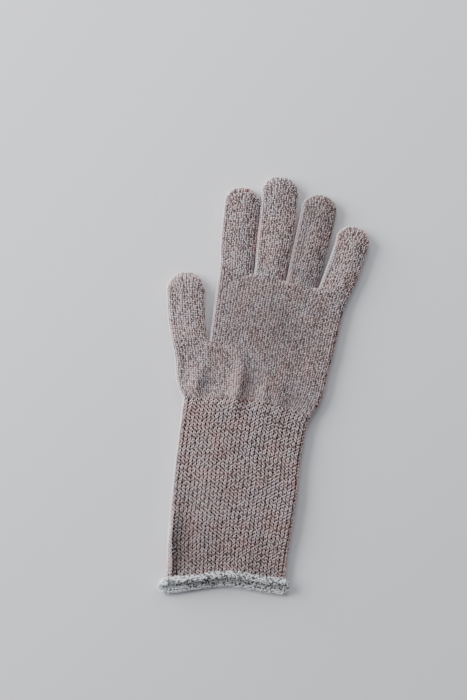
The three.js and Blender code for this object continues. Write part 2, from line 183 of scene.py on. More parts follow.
# Soft folds of the upper layer: across, along, wide, long, high and lean. across and wide are
# shares of the wrist's width, along and long of the palm's length above the wrist or of the
# cuff's length below it, and high is in millimetres.
FOLD_ROWS = (
    (-0.42, 0.14, 0.06, 0.15, 1.8, 18),
    (-0.33, 0.15, 0.055, 0.14, -1.6, 8),
    (-0.1, 0.18, 0.045, 0.22, 2.4, 0),
    (-0.02, 0.12, 0.05, 0.15, -1.5, 0),
    (0.105, 0.14, 0.035, 0.13, 1.6, -6),
    (0.2, 0.12, 0.06, 0.14, 0.6, -10),
    (0.33, 0.08, 0.06, 0.12, -1.8, -20),
    (-0.02, 0.66, 0.16, 0.4, 0.6, -4),
    (0.3, 0.62, 0.12, 0.35, -0.5, -6),
    (-0.46, -0.85, 0.04, 0.5, 1.2, 4),
    (-0.37, -0.85, 0.09, 0.32, -3.2, 3),
    (-0.41, -0.4, 0.05, 0.3, -1.0, 3),
    (-0.16, -0.6, 0.12, 0.5, 0.7, 0),
    (0.28, -0.78, 0.1, 0.22, -0.7, 0),
    (0.44, -0.5, 0.06, 0.5, 0.45, 0),
)

# Millimetres in a metre.
MM = 1000.0
# Gap between the part's cuff and the line of its seam with the hand.
SEAM_GAP = 0.15
# The soft edge along a left fold: its distance from the fold and its width.
RIDGE_PLACE = 2.4
RIDGE_WIDTH = 2.2
# How a tip closes: how blunt it is in plan, how it thins, and the level it thins to by height.
TIP_ROUND = 0.9
TIP_THIN = 0.7
TIP_LEVEL = 0.44
# Depths below the cloth's outer face: the stitches' own middle, the ground's two faces.
STITCH_DEPTH = 0.45
GROUND_DEPTH = 0.62
WALL_DEPTH = HAND.wall
# Angles round a tip, in degrees: the ground's rings, and the first, the last and the step of the
# courses on its sides.
TIP_RINGS = (15, 30, 44, 56, 67, 76, 83)
TIP_COURSES = (3, 81, 7)
# Least heights over the surface of the middle of stitches and of the ground.
STITCH_REST = 0.45
GROUND_REST = 0.35
# Height of the yarn's lowest points over the surface that the glove lies on, in metres.
RESTING = 0.00005
# How much paler the yarn is drawn in a fold, most of all in the left one: painted highlight.
FOLD_HIGHLIGHT = 0.75
# How much paler a strand's flanks are drawn, as a share of its crest: painted highlight.
FLANK_LIGHT = 0.6


def smooth(value: Array | float) -> Array | float:
    """Smoothstep of a value held between 0 and 1."""
    held = np.clip(value, 0.0, 1.0)
    return held * held * (3.0 - 2.0 * held)


def blend(low: Array | float, high: Array | float, share: Array | float) -> Array | float:
    """Straight-line mix of two values."""
    return low + (high - low) * share


def fold_height(x: Array, y: Array) -> Array:
    """Height that the soft folds and the cloth's small unevenness add to the upper layer.

    Args:
        x: Places across the plan.
        y: Places along the plan.

    Returns:
        The added height at each place.
    """
    height = 0.1 * np.sin(x / 5.3 + 1.1) * np.sin(y / 7.9 + 0.4) + 0.07 * np.sin(x / 2.9 - y / 9.7)
    for across, along, wide, long, high, lean in FOLD_ROWS:
        reach = HAND.cuff_length if along < 0 else HAND.palm_length
        turn = math.radians(lean)
        dx = x - HAND.wrist_shift - across * HAND.wrist_width
        dy = y - HAND.wrist_y - along * reach
        side = (dx * math.cos(turn) - dy * math.sin(turn)) / (wide * HAND.wrist_width)
        run = (dx * math.sin(turn) + dy * math.cos(turn)) / (long * reach)
        height = height + high * np.exp(-(side**2) - run**2)
    return height


# Sections and surfaces

@dataclass
class Section:
    """One section of a lying tube: flat below, round at both folds, crowned on top.

    lobes are the shares across at which stalls stand side by side, and lobe_mix says how far the
    section has already parted into them.
    """

    centre: Array
    across: Array
    half: float
    side: float
    crown: float
    shrink: float = 1.0
    bow: Callable[[Array], Array] | None = None
    lobes: tuple[float, ...] = ()
    lobe_mix: float = 0.0
    lobe_crowns: tuple[float, ...] = ()
    ridge: float = 0.0

    def outline(self) -> tuple[Array, Array, Array]:
        """The section as a closed run of points from the left fold over the top.

        Returns:
            Places across, heights, and each point's share of the upper layer.
        """
        radius = min(self.side / 2, self.half)
        flat = self.half - radius
        quarter = np.linspace(0.0, math.pi / 2, 10)
        top = np.linspace(-1.0, 1.0, 61)[1:-1]
        dome = self.side + self.crown * (1.0 - top**2)
        u = np.concatenate([
            -flat - radius * np.cos(quarter), top * flat, flat + radius * np.sin(quarter),
            flat + radius * np.cos(quarter[1:]), -top * flat, -flat - radius * np.sin(quarter[:-1]),
        ])
        z = np.concatenate([
            radius + radius * np.sin(quarter), dome, radius + radius * np.cos(quarter),
            radius - radius * np.sin(quarter[1:]), 0.0 * top,
            radius - radius * np.cos(quarter[:-1]),
        ])
        return u, z, np.clip(z / self.side, 0.0, 1.0)

    def lobed(self, u: Array, upper: Array, simple: Array) -> Array:
        """Heights once the section has parted into its lobes.

        Args:
            u: Places across.
            upper: True on the upper layer.
            simple: Heights of the plain section.

        Returns:
            Heights that dip at each place where two stalls part.
        """
        radius = self.side / 2
        edges = [(share - 0.5) * 2 * self.half for share in (0.0, *self.lobes, 1.0)]
        height = simple.copy()
        for low, high, crown in zip(edges[:-1], edges[1:], self.lobe_crowns):
            inside = (u >= low) & (u <= high)
            near = np.minimum(u - low, high - u)
            flat = max((high - low) / 2 - radius, 0.1)
            rim = np.sqrt(np.clip(radius**2 - np.clip(radius - near, 0, radius) ** 2, 0, None))
            dome = crown * (1.0 - np.clip(1.0 - (near - radius) / flat, 0, 1) ** 2)
            over = radius + rim + np.where(near > radius, dome, 0.0)
            height = np.where(inside, np.where(upper, over, radius - rim), height)
        return height

    def around(self, shares: Array) -> tuple[Array, ...]:
        """The outline's three columns at shares of the way round the section.

        Args:
            shares: Shares of the way round, from the left fold over the top.

        Returns:
            Places across, heights, and shares of the upper layer.
        """
        columns = [np.append(column, column[0]) for column in self.outline()]
        steps = np.hypot(np.diff(columns[0]), np.diff(columns[1]))
        run = np.concatenate([[0.0], np.cumsum(steps)])
        at = (shares % 1.0) * run[-1]
        return tuple(np.interp(at, run, column) for column in columns)

    def sink(self, z: Array, sunk: float) -> Array:
        """Heights of both layers at a depth below the cloth's outer face."""
        held = np.clip(z, 0.0, self.side)
        return self.side / 2 + (held - self.side / 2) * (1.0 - 2 * sunk / self.side) + (z - held)

    def place(self, shares: Array, sunk: float) -> Array:
        """Points of the section in the glove's plan.

        Args:
            shares: Shares of the way round, from the left fold over the top.
            sunk: Depth below the cloth's outer face.

        Returns:
            One point for each share.
        """
        u, z, top = self.around(shares)
        if self.lobe_mix > 0:
            z = blend(z, self.lobed(u, z > self.side / 2, z), self.lobe_mix)
        z = self.sink(z, sunk)
        u = u * (1.0 - sunk / self.half)
        x = self.centre[0] + self.across[0] * u
        y = self.centre[1] + self.across[1] * u
        if self.bow is not None:
            y = y + self.bow(u / (2 * self.half) + 0.5)
        edge = np.exp(-(((u + self.half - RIDGE_PLACE) / RIDGE_WIDTH) ** 2))
        z = z + top * (fold_height(x, y) + self.ridge * edge)
        return np.stack([x, y, thinned(z, self.side, self.shrink)], axis=1)


def thinned(z: Array, side: float, share: Array | float) -> Array:
    """Heights of a tip whose layers close on each other to a share of their height."""
    level = TIP_LEVEL * side
    return level + (z - level) * share


@dataclass
class Stitches:
    """Stitch places on a surface: middles, two axes and the local gauge of each."""

    middle: Array
    across: Array
    facing: Array
    scale: Array

    @staticmethod
    def on_grid(grid: Array, gauge: Gauge, closed: bool = True) -> "Stitches":
        """Stitch places at the nodes of a grid of courses and wales.

        Args:
            grid: Points by course and wale.
            gauge: The spacing that the stitch was drawn for.
            closed: True where the wales run all round a tube.

        Returns:
            One stitch for each node of the grid.
        """
        if closed:
            across = (np.roll(grid, -1, axis=1) - np.roll(grid, 1, axis=1)) / 2
        else:
            across = np.gradient(grid, axis=1)
        along = np.gradient(grid, axis=0)
        facing = np.cross(across, along)
        wale = np.linalg.norm(across, axis=2)
        course = np.linalg.norm(along, axis=2)
        facing /= np.maximum(np.linalg.norm(facing, axis=2), 1e-9)[..., None]
        bulk = np.clip(wale / gauge.wale, 0.75, 1.15)
        scale = np.stack([wale / gauge.wale, course / gauge.course, bulk], axis=2)
        flat = [column.reshape(-1, 3) for column in (grid, across, facing, scale)]
        return Stitches(*flat)

    @staticmethod
    def joined(parts: Sequence["Stitches"]) -> "Stitches":
        """All the stitches of several parts in one."""
        columns = ("middle", "across", "facing", "scale")
        return Stitches(*(np.concatenate([getattr(part, name) for part in parts])
                          for name in columns))

    def kept(self, mask: Array) -> "Stitches":
        """Only the stitches that a mask keeps."""
        return Stitches(self.middle[mask], self.across[mask], self.facing[mask], self.scale[mask])

    def loosened(self, amount: float, seed: int) -> "Stitches":
        """The same stitches, each set a little out of line.

        Args:
            amount: Usual distance that a stitch moves, in millimetres.
            seed: Seed of the chance.

        Returns:
            The moved stitches.
        """
        chance = np.random.default_rng(seed)
        moved = self.middle + chance.normal(0.0, amount, self.middle.shape) * (1.0, 1.0, 0.4)
        moved[:, 2] = np.maximum(moved[:, 2], STITCH_REST)
        bulk = self.scale.copy()
        bulk[:, 2] *= chance.uniform(0.85, 1.15, len(bulk))
        return Stitches(moved, self.across, self.facing, bulk)


# Meshes

def add_object(name: str, data: bpy.types.ID) -> bpy.types.Object:
    """A new object with its data, linked to the scene."""
    made = bpy.data.objects.new(name, data)
    bpy.context.scene.collection.objects.link(made)
    return made


def mark(mesh: bpy.types.Mesh, **columns: Array | list[float]) -> None:
    """Stores columns on a mesh's points, each under its own name.

    Args:
        mesh: The mesh.
        columns: By name, one number or one vector for each point.
    """
    for label, column in columns.items():
        values = np.ascontiguousarray(column, dtype=np.float32)
        kind, entry = ("FLOAT", "value") if values.ndim == 1 else ("FLOAT_VECTOR", "vector")
        mesh.attributes.new(label, kind, "POINT").data.foreach_set(entry, values.ravel())


class Bench:
    """Turns plan millimetres into pieces in the row's frame."""

    def __init__(self) -> None:
        """Finds where the plan lies in the row, from the cuff's box."""
        _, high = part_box("cuff")
        self.shift = np.array([high[0] * MM - HAND.wrist_right,
                               high[1] * MM - HAND.wrist_y - HAND.wrist_bow + SEAM_GAP, 0.0])

    def metres(self, points: Array) -> Array:
        """Points of the plan in metres, in the row's frame."""
        return (points + self.shift) / MM

    def mesh(self, name: str, points: Array, faces: list[tuple[int, ...]]) -> bpy.types.Object:
        """A smooth-shaded object from plan points and faces.

        Args:
            name: The object's name.
            points: Its points in plan millimetres.
            faces: Its faces, each a run of point numbers seen from outside.

        Returns:
            The new object, linked to the scene.
        """
        made = bpy.data.meshes.new(name)
        made.from_pydata(self.metres(points).tolist(), [], faces)
        made.polygons.foreach_set("use_smooth", [True] * len(made.polygons))
        made.update()
        return add_object(name, made)


def grid_faces(rows: int, count: int, start: int, outward: bool) -> list[tuple[int, ...]]:
    """Quads between rings of points.

    Args:
        rows: How many rings.
        count: Points in a ring.
        start: Number of the first point.
        outward: True for the outer skin, False for the inner one.

    Returns:
        The quads, facing away from the wall.
    """
    faces = []
    for j in range(rows - 1):
        for k in range(count):
            n = (k + 1) % count
            low, high = start + j * count, start + (j + 1) * count
            quad = (low + k, low + n, high + n, high + k)
            faces.append(quad if outward else quad[::-1])
    return faces


def shell(outer: Array, inner: Array, closed_end: bool) -> tuple[Array, list[tuple[int, ...]]]:
    """A wall between an outer and an inner grid, with its rims or its closed tip.

    Args:
        outer: Outer points by ring.
        inner: Inner points by ring.
        closed_end: True where the last rings close to a tip.

    Returns:
        Points and faces of the closed wall.
    """
    rows, count = outer.shape[:2]
    inside = rows * count
    points = [outer.reshape(-1, 3), inner.reshape(-1, 3)]
    faces = grid_faces(rows, count, 0, True) + grid_faces(rows, count, inside, False)
    last = (rows - 1) * count
    for k in range(count):
        n = (k + 1) % count
        faces.append((inside + k, inside + n, n, k))
        if closed_end:
            faces.append((last + k, last + n, 2 * inside))
            faces.append((inside + last + n, inside + last + k, 2 * inside + 1))
        else:
            faces.append((last + k, last + n, inside + last + n, inside + last + k))
    if closed_end:
        points += [outer[-1].mean(axis=0)[None], inner[-1].mean(axis=0)[None]]
    return np.concatenate(points), faces


@dataclass(frozen=True)
class Strand:
    """One short length of yarn in a stitch: its path and its half width, in millimetres.

    Its last field gives how much paler the yarn is drawn at each point of the path, from 0 where it
    dives under its neighbours to 1 on its crest: painted shade where it dives and painted highlight
    on the crest.
    """

    path: tuple[tuple[float, float, float], ...]
    half: float = 0.4
    rise: float = 0.3
    rub: tuple[float, float, float, float] = (0.0, 1.0, 0.9, 0.1)

    def mirrored(self) -> "Strand":
        """The same strand on the other side of the wale."""
        return replace(self, path=tuple((-x, y, z) for x, y, z in self.path))

    def solid(self, start: int) -> tuple[list[Vector], list[tuple[int, ...]]]:
        """A closed spindle of twelve faces along the path.

        Args:
            start: Number of the first point.

        Returns:
            Points in millimetres and faces.
        """
        path = [Vector(point) for point in self.path]
        run = (path[-1] - path[0]).normalized()
        aside = run.cross(Vector((0, 0, 1))).normalized() * self.half
        crest, foot = Vector((0, 0, self.rise)), Vector((0, 0, -0.35 * self.rise))
        points = [path[0]]
        for at in path[1:-1]:
            points += [at + aside + foot, at + crest, at - aside + foot]
        points.append(path[-1])
        faces = []
        for k in range(3):
            n = (k + 1) % 3
            faces += [(0, 1 + k, 1 + n), (1 + k, 4 + k, 4 + n), (1 + k, 4 + n, 1 + n),
                      (7, 4 + n, 4 + k)]
        return points, [tuple(start + index for index in face) for face in faces]


class StitchKind(Enum):
    """The stitches that the glove is knitted in."""

    JERSEY = "jersey_stitch"
    LOOSE = "loose_tip_stitch"
    MESH = "mesh_cell"
    PURL = "purl_stitch"
    HAIR = "wool_hair"

    def strands(self) -> list[Strand]:
        """The strands of yarn that one stitch shows.

        Returns:
            The strands, drawn at the stitch's own gauge.
        """
        if self is StitchKind.JERSEY:
            leg = Strand(((0.36, -0.9, -0.34), (0.43, -0.3, 0.24), (0.34, 0.3, 0.26),
                          (0.12, 0.78, -0.3)), 0.36, 0.36)
            return [leg, leg.mirrored()]
        if self is StitchKind.LOOSE:
            leg = Strand(((0.42, -1.0, -0.3), (0.5, -0.3, 0.34), (0.36, 0.4, 0.36),
                          (0.06, 1.0, -0.25)), 0.38, 0.38)
            return [leg, leg.mirrored()]
        if self is StitchKind.MESH:
            # The crossing strands are drawn paler and the ribs under them darker: painted highlight
            # and shade.
            cross = Strand(((0.02, -0.3, 0.0), (0.42, 0.34, 0.34), (0.98, 0.94, 0.08),
                            (1.6, 1.36, -0.4)), 0.34, 0.32, (1.0, 1.0, 0.4, -0.1))
            below = replace(cross, path=tuple((x, -y, z - 0.06) for x, y, z in cross.path))
            rib = Strand(((0.5, 0.5, -0.6), (0.44, 1.0, -0.22), (0.3, 1.6, -0.22),
                          (0.1, 2.1, -0.6)), 0.3, 0.26, (0.4, 0.1, 0.1, 0.4))
            return [cross, cross.mirrored(), below, below.mirrored(), rib, rib.mirrored()]
        if self is StitchKind.PURL:
            return [Strand(((-0.85, -0.25, -0.3), (-0.32, 0.1, 0.14), (0.32, 0.1, 0.14),
                            (0.85, -0.25, -0.3)), 0.54, 0.32)]
        return [Strand(((0.0, 0.0, -0.2), (0.2, 0.15, 0.5), (0.8, 0.3, 0.95), (1.9, 0.7, 1.1)),
                       0.045, 0.045)]

    def draw(self) -> bpy.types.Object:
        """The stitch as an object of its own, outside the scene.

        Returns:
            The object, in metres, with each strand's number and its painted crest light on its
            points.
        """
        points: list[Vector] = []
        faces: list[tuple[int, ...]] = []
        legs: list[float] = []
        rubs: list[float] = []
        for number, strand in enumerate(self.strands()):
            more, more_faces = strand.solid(len(points))
            points += more
            faces += more_faces
            legs += [float(number)] * len(more)
            start, near, far, end = strand.rub
            near_side, far_side = FLANK_LIGHT * near, FLANK_LIGHT * far
            rubs += [start, near_side, near, near_side, far_side, far, far_side, end]
        made = bpy.data.meshes.new(self.value)
        made.from_pydata([point / MM for point in points], [], faces)
        made.polygons.foreach_set("use_smooth", [True] * len(faces))
        mark(made, leg=legs, rub=rubs)
        return bpy.data.objects.new(self.value, made)


# Node trees

def add_node(tree: bpy.types.NodeTree, kind: str, settings: dict | None = None,
             inputs: dict | None = None) -> bpy.types.Node:
    """Adds a node with its settings, values and links.

    Args:
        tree: The tree it goes in.
        kind: Blender's name for the node's type.
        settings: Attributes of the node.
        inputs: By socket name or number, a value or the output socket that feeds it.

    Returns:
        The new node.
    """
    node = tree.nodes.new(kind)
    for name, value in (settings or {}).items():
        setattr(node, name, value)
    for name, value in (inputs or {}).items():
        socket = node.inputs[name]
        if isinstance(value, bpy.types.NodeSocket):
            tree.links.new(value, socket)
        else:
            socket.default_value = value
    return node


def maths(tree: bpy.types.NodeTree, operation: str, *values: object) -> bpy.types.NodeSocket:
    """Output of a math node fed with values or sockets."""
    return add_node(tree, "ShaderNodeMath", {"operation": operation},
                    dict(enumerate(values))).outputs[0]


def open_tree(name: str,
              sockets: Sequence[tuple[str, str]]) -> tuple[bpy.types.NodeTree, bpy.types.Node]:
    """A geometry tree with a Geometry input and output and its own named inputs.

    Args:
        name: The tree's name.
        sockets: Name and socket type of each further input.

    Returns:
        The tree and its input node.
    """
    tree = bpy.data.node_groups.new(name, "GeometryNodeTree")
    tree.interface.new_socket("Geometry", in_out="INPUT", socket_type="NodeSocketGeometry")
    for label, kind in sockets:
        tree.interface.new_socket(label, in_out="INPUT", socket_type=kind)
    tree.interface.new_socket("Geometry", in_out="OUTPUT", socket_type="NodeSocketGeometry")
    return tree, tree.nodes.new("NodeGroupInput")


def chance(tree: bpy.types.NodeTree, low: object, high: object,
           seed: bpy.types.NodeSocket) -> bpy.types.NodeSocket:
    """A random number or vector for each place.

    Args:
        tree: The tree.
        low: Lower limit, a number or three of them.
        high: Upper limit of the same kind.
        seed: The tree's seed.

    Returns:
        The output socket.
    """
    kind, first, output = ("FLOAT_VECTOR", 0, 0) if isinstance(low, tuple) else ("FLOAT", 2, 1)
    return add_node(tree, "FunctionNodeRandomValue", {"data_type": kind},
                    {first: low, first + 1: high, "Seed": seed}).outputs[output]


def lay(tree: bpy.types.NodeTree, given: bpy.types.Node, item: str, places: bpy.types.NodeSocket,
        rotation: bpy.types.NodeSocket, angles: bpy.types.NodeSocket,
        scale: bpy.types.NodeSocket, stored: dict[str, object]) -> None:
    """Lays an item on every place, makes it real, gives it its yarn and ends the tree.

    Args:
        tree: The tree.
        given: Its input node.
        item: Name of the input that holds the item.
        places: The points.
        rotation: How each item is seated.
        angles: Its further turn in its own axes.
        scale: Its size.
        stored: By name, what each item keeps as a value of its own.
    """
    turn = add_node(tree, "FunctionNodeEulerToRotation", None, {0: angles})
    seated = add_node(tree, "FunctionNodeRotateRotation", {"rotation_space": "LOCAL"},
                      {0: rotation, 1: turn.outputs[0]})
    drawn = add_node(tree, "GeometryNodeObjectInfo", None, {"Object": given.outputs[item]})
    flow = add_node(tree, "GeometryNodeInstanceOnPoints", None, {
        "Points": places, "Instance": drawn.outputs["Geometry"],
        "Rotation": seated.outputs[0], "Scale": scale,
    }).outputs[0]
    for name, value in stored.items():
        flow = add_node(tree, "GeometryNodeStoreNamedAttribute",
                        {"data_type": "FLOAT", "domain": "INSTANCE"},
                        {"Geometry": flow, "Name": name, "Value": value}).outputs[0]
    real = add_node(tree, "GeometryNodeRealizeInstances", None, {0: flow})
    dyed = add_node(tree, "GeometryNodeSetMaterial", None,
                    {"Geometry": real.outputs[0], "Material": given.outputs["Yarn"]})
    add_node(tree, "NodeGroupOutput", None, {"Geometry": dyed.outputs[0]})


class KnittingTree:
    """The tree that sets one stitch on every stitch place."""

    def __init__(self) -> None:
        """Builds the tree once for all the glove's knits."""
        tree, given = open_tree("lay_stitches", (
            ("Stitch", "NodeSocketObject"), ("Slack", "NodeSocketFloat"),
            ("Seed", "NodeSocketInt"), ("Yarn", "NodeSocketMaterial"),
        ))
        seed = given.outputs["Seed"]
        across, facing, gauge = (
            add_node(tree, "GeometryNodeInputNamedAttribute", {"data_type": "FLOAT_VECTOR"},
                     {"Name": name}).outputs["Attribute"]
            for name in ("across", "facing", "gauge"))
        seat = add_node(tree, "FunctionNodeAxesToRotation",
                        {"primary_axis": "Z", "secondary_axis": "X"},
                        {"Primary Axis": facing, "Secondary Axis": across})
        loose = chance(tree, (-1.0, -1.0, -1.0), (1.0, 1.0, 1.0), seed)
        swing = add_node(tree, "ShaderNodeVectorMath", {"operation": "SCALE"},
                         {0: loose, "Scale": given.outputs["Slack"]})
        lay(tree, given, "Stitch", given.outputs["Geometry"], seat.outputs[0], swing.outputs[0],
            gauge, {"tone": chance(tree, 0.0, 1.0, seed)})
        self.tree = tree


class HaloTree:
    """The tree that scatters loose wool hairs over a ground wall."""

    def __init__(self) -> None:
        """Builds the tree once for all the glove's grounds."""
        tree, given = open_tree("raise_wool_hairs", (
            ("Hair", "NodeSocketObject"), ("Density", "NodeSocketFloat"),
            ("Seed", "NodeSocketInt"), ("Yarn", "NodeSocketMaterial"),
            ("Lowest Lean", "NodeSocketFloat"),
        ))
        seed = given.outputs["Seed"]
        facing = add_node(tree, "ShaderNodeSeparateXYZ", None,
                          {0: add_node(tree, "GeometryNodeInputNormal").outputs[0]})
        open_side = maths(tree, "GREATER_THAN", facing.outputs["Z"], given.outputs["Lowest Lean"])
        strewn = add_node(tree, "GeometryNodeDistributePointsOnFaces", None, {
            "Mesh": given.outputs["Geometry"], "Density": given.outputs["Density"],
            "Seed": seed, "Selection": open_side,
        })
        spin = chance(tree, (-0.7, -0.7, 0.0), (0.7, 0.7, 6.28), seed)
        size = chance(tree, 0.6, 1.5, seed)
        lay(tree, given, "Hair", strewn.outputs["Points"], strewn.outputs["Rotation"], spin,
            size, {"tone": size, "shade": 1.0})
        self.tree = tree


def run_tree(name: str, carrier: bpy.types.Object, tree: bpy.types.NodeTree,
             values: dict[str, object]) -> bpy.types.Object:
    """Runs a geometry tree on a carrier and keeps the result as a plain mesh.

    Args:
        name: The new piece's name.
        carrier: The object that the tree reads, removed afterwards if it is only points.
        tree: The tree.
        values: The tree's inputs by name.

    Returns:
        The piece, with no modifier.
    """
    modifier = carrier.modifiers.new("knit", "NODES")
    modifier.node_group = tree
    for item in tree.interface.items_tree:
        if item.in_out == "INPUT" and item.name in values:
            modifier[item.identifier] = values[item.name]
    carrier.update_tag()
    graph = bpy.context.evaluated_depsgraph_get()
    graph.update()
    made = bpy.data.meshes.new_from_object(carrier.evaluated_get(graph), depsgraph=graph)
    made.name = name
    for label in ("across", "facing", "gauge"):
        if label in made.attributes:
            made.attributes.remove(made.attributes[label])
    # Cloth that rests on the surface is pressed flat against it.
    places = np.zeros(len(made.vertices) * 3, dtype=np.float32)
    made.vertices.foreach_get("co", places)
    places[2::3] = np.maximum(places[2::3], RESTING)
    made.vertices.foreach_set("co", places)
    made.update()
    carrier.modifiers.remove(modifier)
    return add_object(name, made)


# Finishes

def linear(code: str) -> tuple[float, float, float, float]:
    """A linear colour from an sRGB hex value.

    Args:
        code: Six hex digits, such as "9a8e90".

    Returns:
        Red, green, blue and full alpha.
    """
    parts = [int(code[i:i + 2], 16) / 255 for i in (0, 2, 4)]
    toned = [part / 12.92 if part <= 0.04045 else ((part + 0.055) / 1.055) ** 2.4 for part in parts]
    return (*toned, 1.0)


def reading(tree: bpy.types.NodeTree, name: str) -> bpy.types.NodeSocket:
    """The value that each point of a piece carries under a name."""
    return add_node(tree, "ShaderNodeAttribute", {"attribute_name": name}).outputs["Fac"]


def noise(tree: bpy.types.NodeTree, place: bpy.types.NodeSocket, scale: float,
          detail: float) -> bpy.types.NodeSocket:
    """Noise at a place, with scale clouds to the metre."""
    return add_node(tree, "ShaderNodeTexNoise", None,
                    {"Vector": place, "Scale": scale, "Detail": detail}).outputs["Fac"]


def shades(tree: bpy.types.NodeTree, level: bpy.types.NodeSocket, codes: Sequence[str],
           low: float, high: float) -> bpy.types.NodeSocket:
    """Colours spread evenly between two levels.

    Args:
        tree: The tree.
        level: What chooses the colour.
        codes: The colours as sRGB hex values.
        low: Level of the first colour.
        high: Level of the last one.

    Returns:
        The colour's output socket.
    """
    ramp = add_node(tree, "ShaderNodeValToRGB", None, {"Fac": level})
    stops = ramp.color_ramp.elements
    while len(stops) < len(codes):
        stops.new(0.5)
    for number, code in enumerate(codes):
        stops[number].position = low + (high - low) * number / (len(codes) - 1)
        stops[number].color = linear(code)
    return ramp.outputs["Color"]


def blended(tree: bpy.types.NodeTree, kind: str, share: object, first: object,
            second: object) -> bpy.types.NodeSocket:
    """Output of a colour mix of a kind, such as MIX or MULTIPLY."""
    return add_node(tree, "ShaderNodeMix", {"data_type": "RGBA", "blend_type": kind},
                    {"Factor": share, 6: first, 7: second}).outputs[2]


def open_material(
        name: str) -> tuple[bpy.types.Material, bpy.types.NodeTree, bpy.types.NodeSocket]:
    """An empty material, its tree, and the place on the piece in metres.

    Args:
        name: The material's name.

    Returns:
        The material, its tree and the socket of the place.
    """
    material = bpy.data.materials.new(name)
    material.use_nodes = True
    tree = material.node_tree
    tree.nodes.clear()
    return material, tree, add_node(tree, "ShaderNodeTexCoord").outputs["Object"]


def end_in_wool(tree: bpy.types.NodeTree, colour: bpy.types.NodeSocket,
                height: bpy.types.NodeSocket, relief: tuple[float, float],
                inputs: dict[str, float]) -> None:
    """Ends a material in a wool surface, with the IOR of 1.55 that wool fibre has.

    Args:
        tree: The material's tree.
        colour: Its colour.
        height: Its fine relief.
        relief: Strength of the relief, and its height in metres.
        inputs: The surface's other values by name.
    """
    strength, distance = relief
    bump = add_node(tree, "ShaderNodeBump", None,
                    {"Strength": strength, "Distance": distance, "Height": height})
    wool = add_node(tree, "ShaderNodeBsdfPrincipled", None, {
        "Base Color": colour, "Normal": bump.outputs["Normal"], "IOR": 1.55, **inputs,
    })
    add_node(tree, "ShaderNodeOutputMaterial", None, {"Surface": wool.outputs[0]})


@dataclass(frozen=True)
class YarnFinish:
    """A spun wool yarn of mixed fibres.

    Wool scatters light softly: an IOR near 1.55, almost no gloss, and a faint sheen from the fibres
    that stand off the yarn. tones run from the darkest stitch to the palest, variety is how far
    stitches differ, patch how far the draft does, split how far a stitch's strands differ, and
    speckle how far its fibres do. How much paler a strand's crest is drawn than its ends is painted
    highlight on the crest and painted shade where it dives under its neighbours.
    """

    name: str
    tones: tuple[str, ...]
    tints: tuple[str, str] = ("ffe9e6", "f3f2f5")
    variety: float = 0.75
    patch: float = 0.3
    rub: float = 0.3
    split: float = 0.377
    speckle: float = 0.8
    roughness: float = 0.92
    sheen: float = 0.6

    def make(self) -> bpy.types.Material:
        """The yarn's material.

        Returns:
            A material whose colour changes with each stitch and along the yarn's own fibres.
        """
        material, tree, place = open_material(self.name)
        apart = maths(tree, "MULTIPLY_ADD", reading(tree, "leg"), self.split,
                      reading(tree, "tone"))
        spread = maths(tree, "MULTIPLY_ADD", maths(tree, "FRACT", apart), self.variety,
                       (1 - self.variety - self.speckle) / 2)
        # Fibres of one colour stay together for about 1 mm of yarn.
        mixed = maths(tree, "MULTIPLY_ADD", noise(tree, place, 1000.0, 1.0), self.speckle, spread)
        # The draft varies along the yarn, which runs across the glove: streaks of about 12 mm.
        drawn = add_node(tree, "ShaderNodeVectorMath", {"operation": "MULTIPLY"},
                         {0: place, 1: (0.4, 1.0, 1.0)}).outputs[0]
        swayed = maths(tree, "MULTIPLY_ADD", noise(tree, drawn, 130.0, 2.0), self.patch, mixed)
        # Adds how much paler the stitch is drawn, mostly painted highlight in the folds and on the
        # gathers.
        painted_light = maths(tree, "ADD", swayed, reading(tree, "pale"))
        # Crests drawn paler and ends darker: painted highlight and painted shade.
        rubbed = maths(tree, "MULTIPLY_ADD", reading(tree, "rub"), self.rub, painted_light)
        level = maths(tree, "SUBTRACT", rubbed, self.patch / 2 + self.rub / 2)
        # Rosy and grey fibres gather in clouds of 5 to 15 mm.
        tint = shades(tree, noise(tree, place, 75.0, 3.0), self.tints, 0.36, 0.64)
        tinted = blended(tree, "MULTIPLY", 1.0, shades(tree, level, self.tones, 0.2, 0.8), tint)
        dyed = add_node(tree, "ShaderNodeVectorMath", {"operation": "SCALE"},
                        {0: tinted, "Scale": reading(tree, "shade")}).outputs[0]
        # Fibres lie about 0.1 mm apart on the yarn.
        end_in_wool(tree, dyed, noise(tree, place, 5200.0, 2.0), (0.5, 0.00012), {
            "Roughness": self.roughness, "Specular IOR Level": 0.25,
            "Sheen Weight": self.sheen, "Sheen Roughness": 0.35,
        })
        return material


@dataclass(frozen=True)
class GroundFinish:
    """The yarn between stitches, dark there as painted shade and paler along the folds as painted
    highlight: as rough as wool gets, and without sheen.
    """

    name: str
    dark: str
    pale: str
    # Painted highlight colour along the folds.
    fold: str = "b4abae"

    def make(self) -> bpy.types.Material:
        """The ground's material.

        Returns:
            A material mottled at the size of a stitch, and paler along the folds as a painted
            highlight.
        """
        material, tree, place = open_material(self.name)
        spots = noise(tree, place, 900.0, 2.0)
        flat = blended(tree, "MIX", spots, linear(self.dark), linear(self.pale))
        colour = blended(tree, "MIX", reading(tree, "pale"), flat, linear(self.fold))
        end_in_wool(tree, colour, spots, (0.6, 0.0002),
                    {"Roughness": 0.95, "Specular IOR Level": 0.15})
        return material


MELANGE = ("503c3c", "857070", "b3a2a3", "d6c8c9", "f5eef2")
NO_TINT = ("f4f6f8", "ffffff")


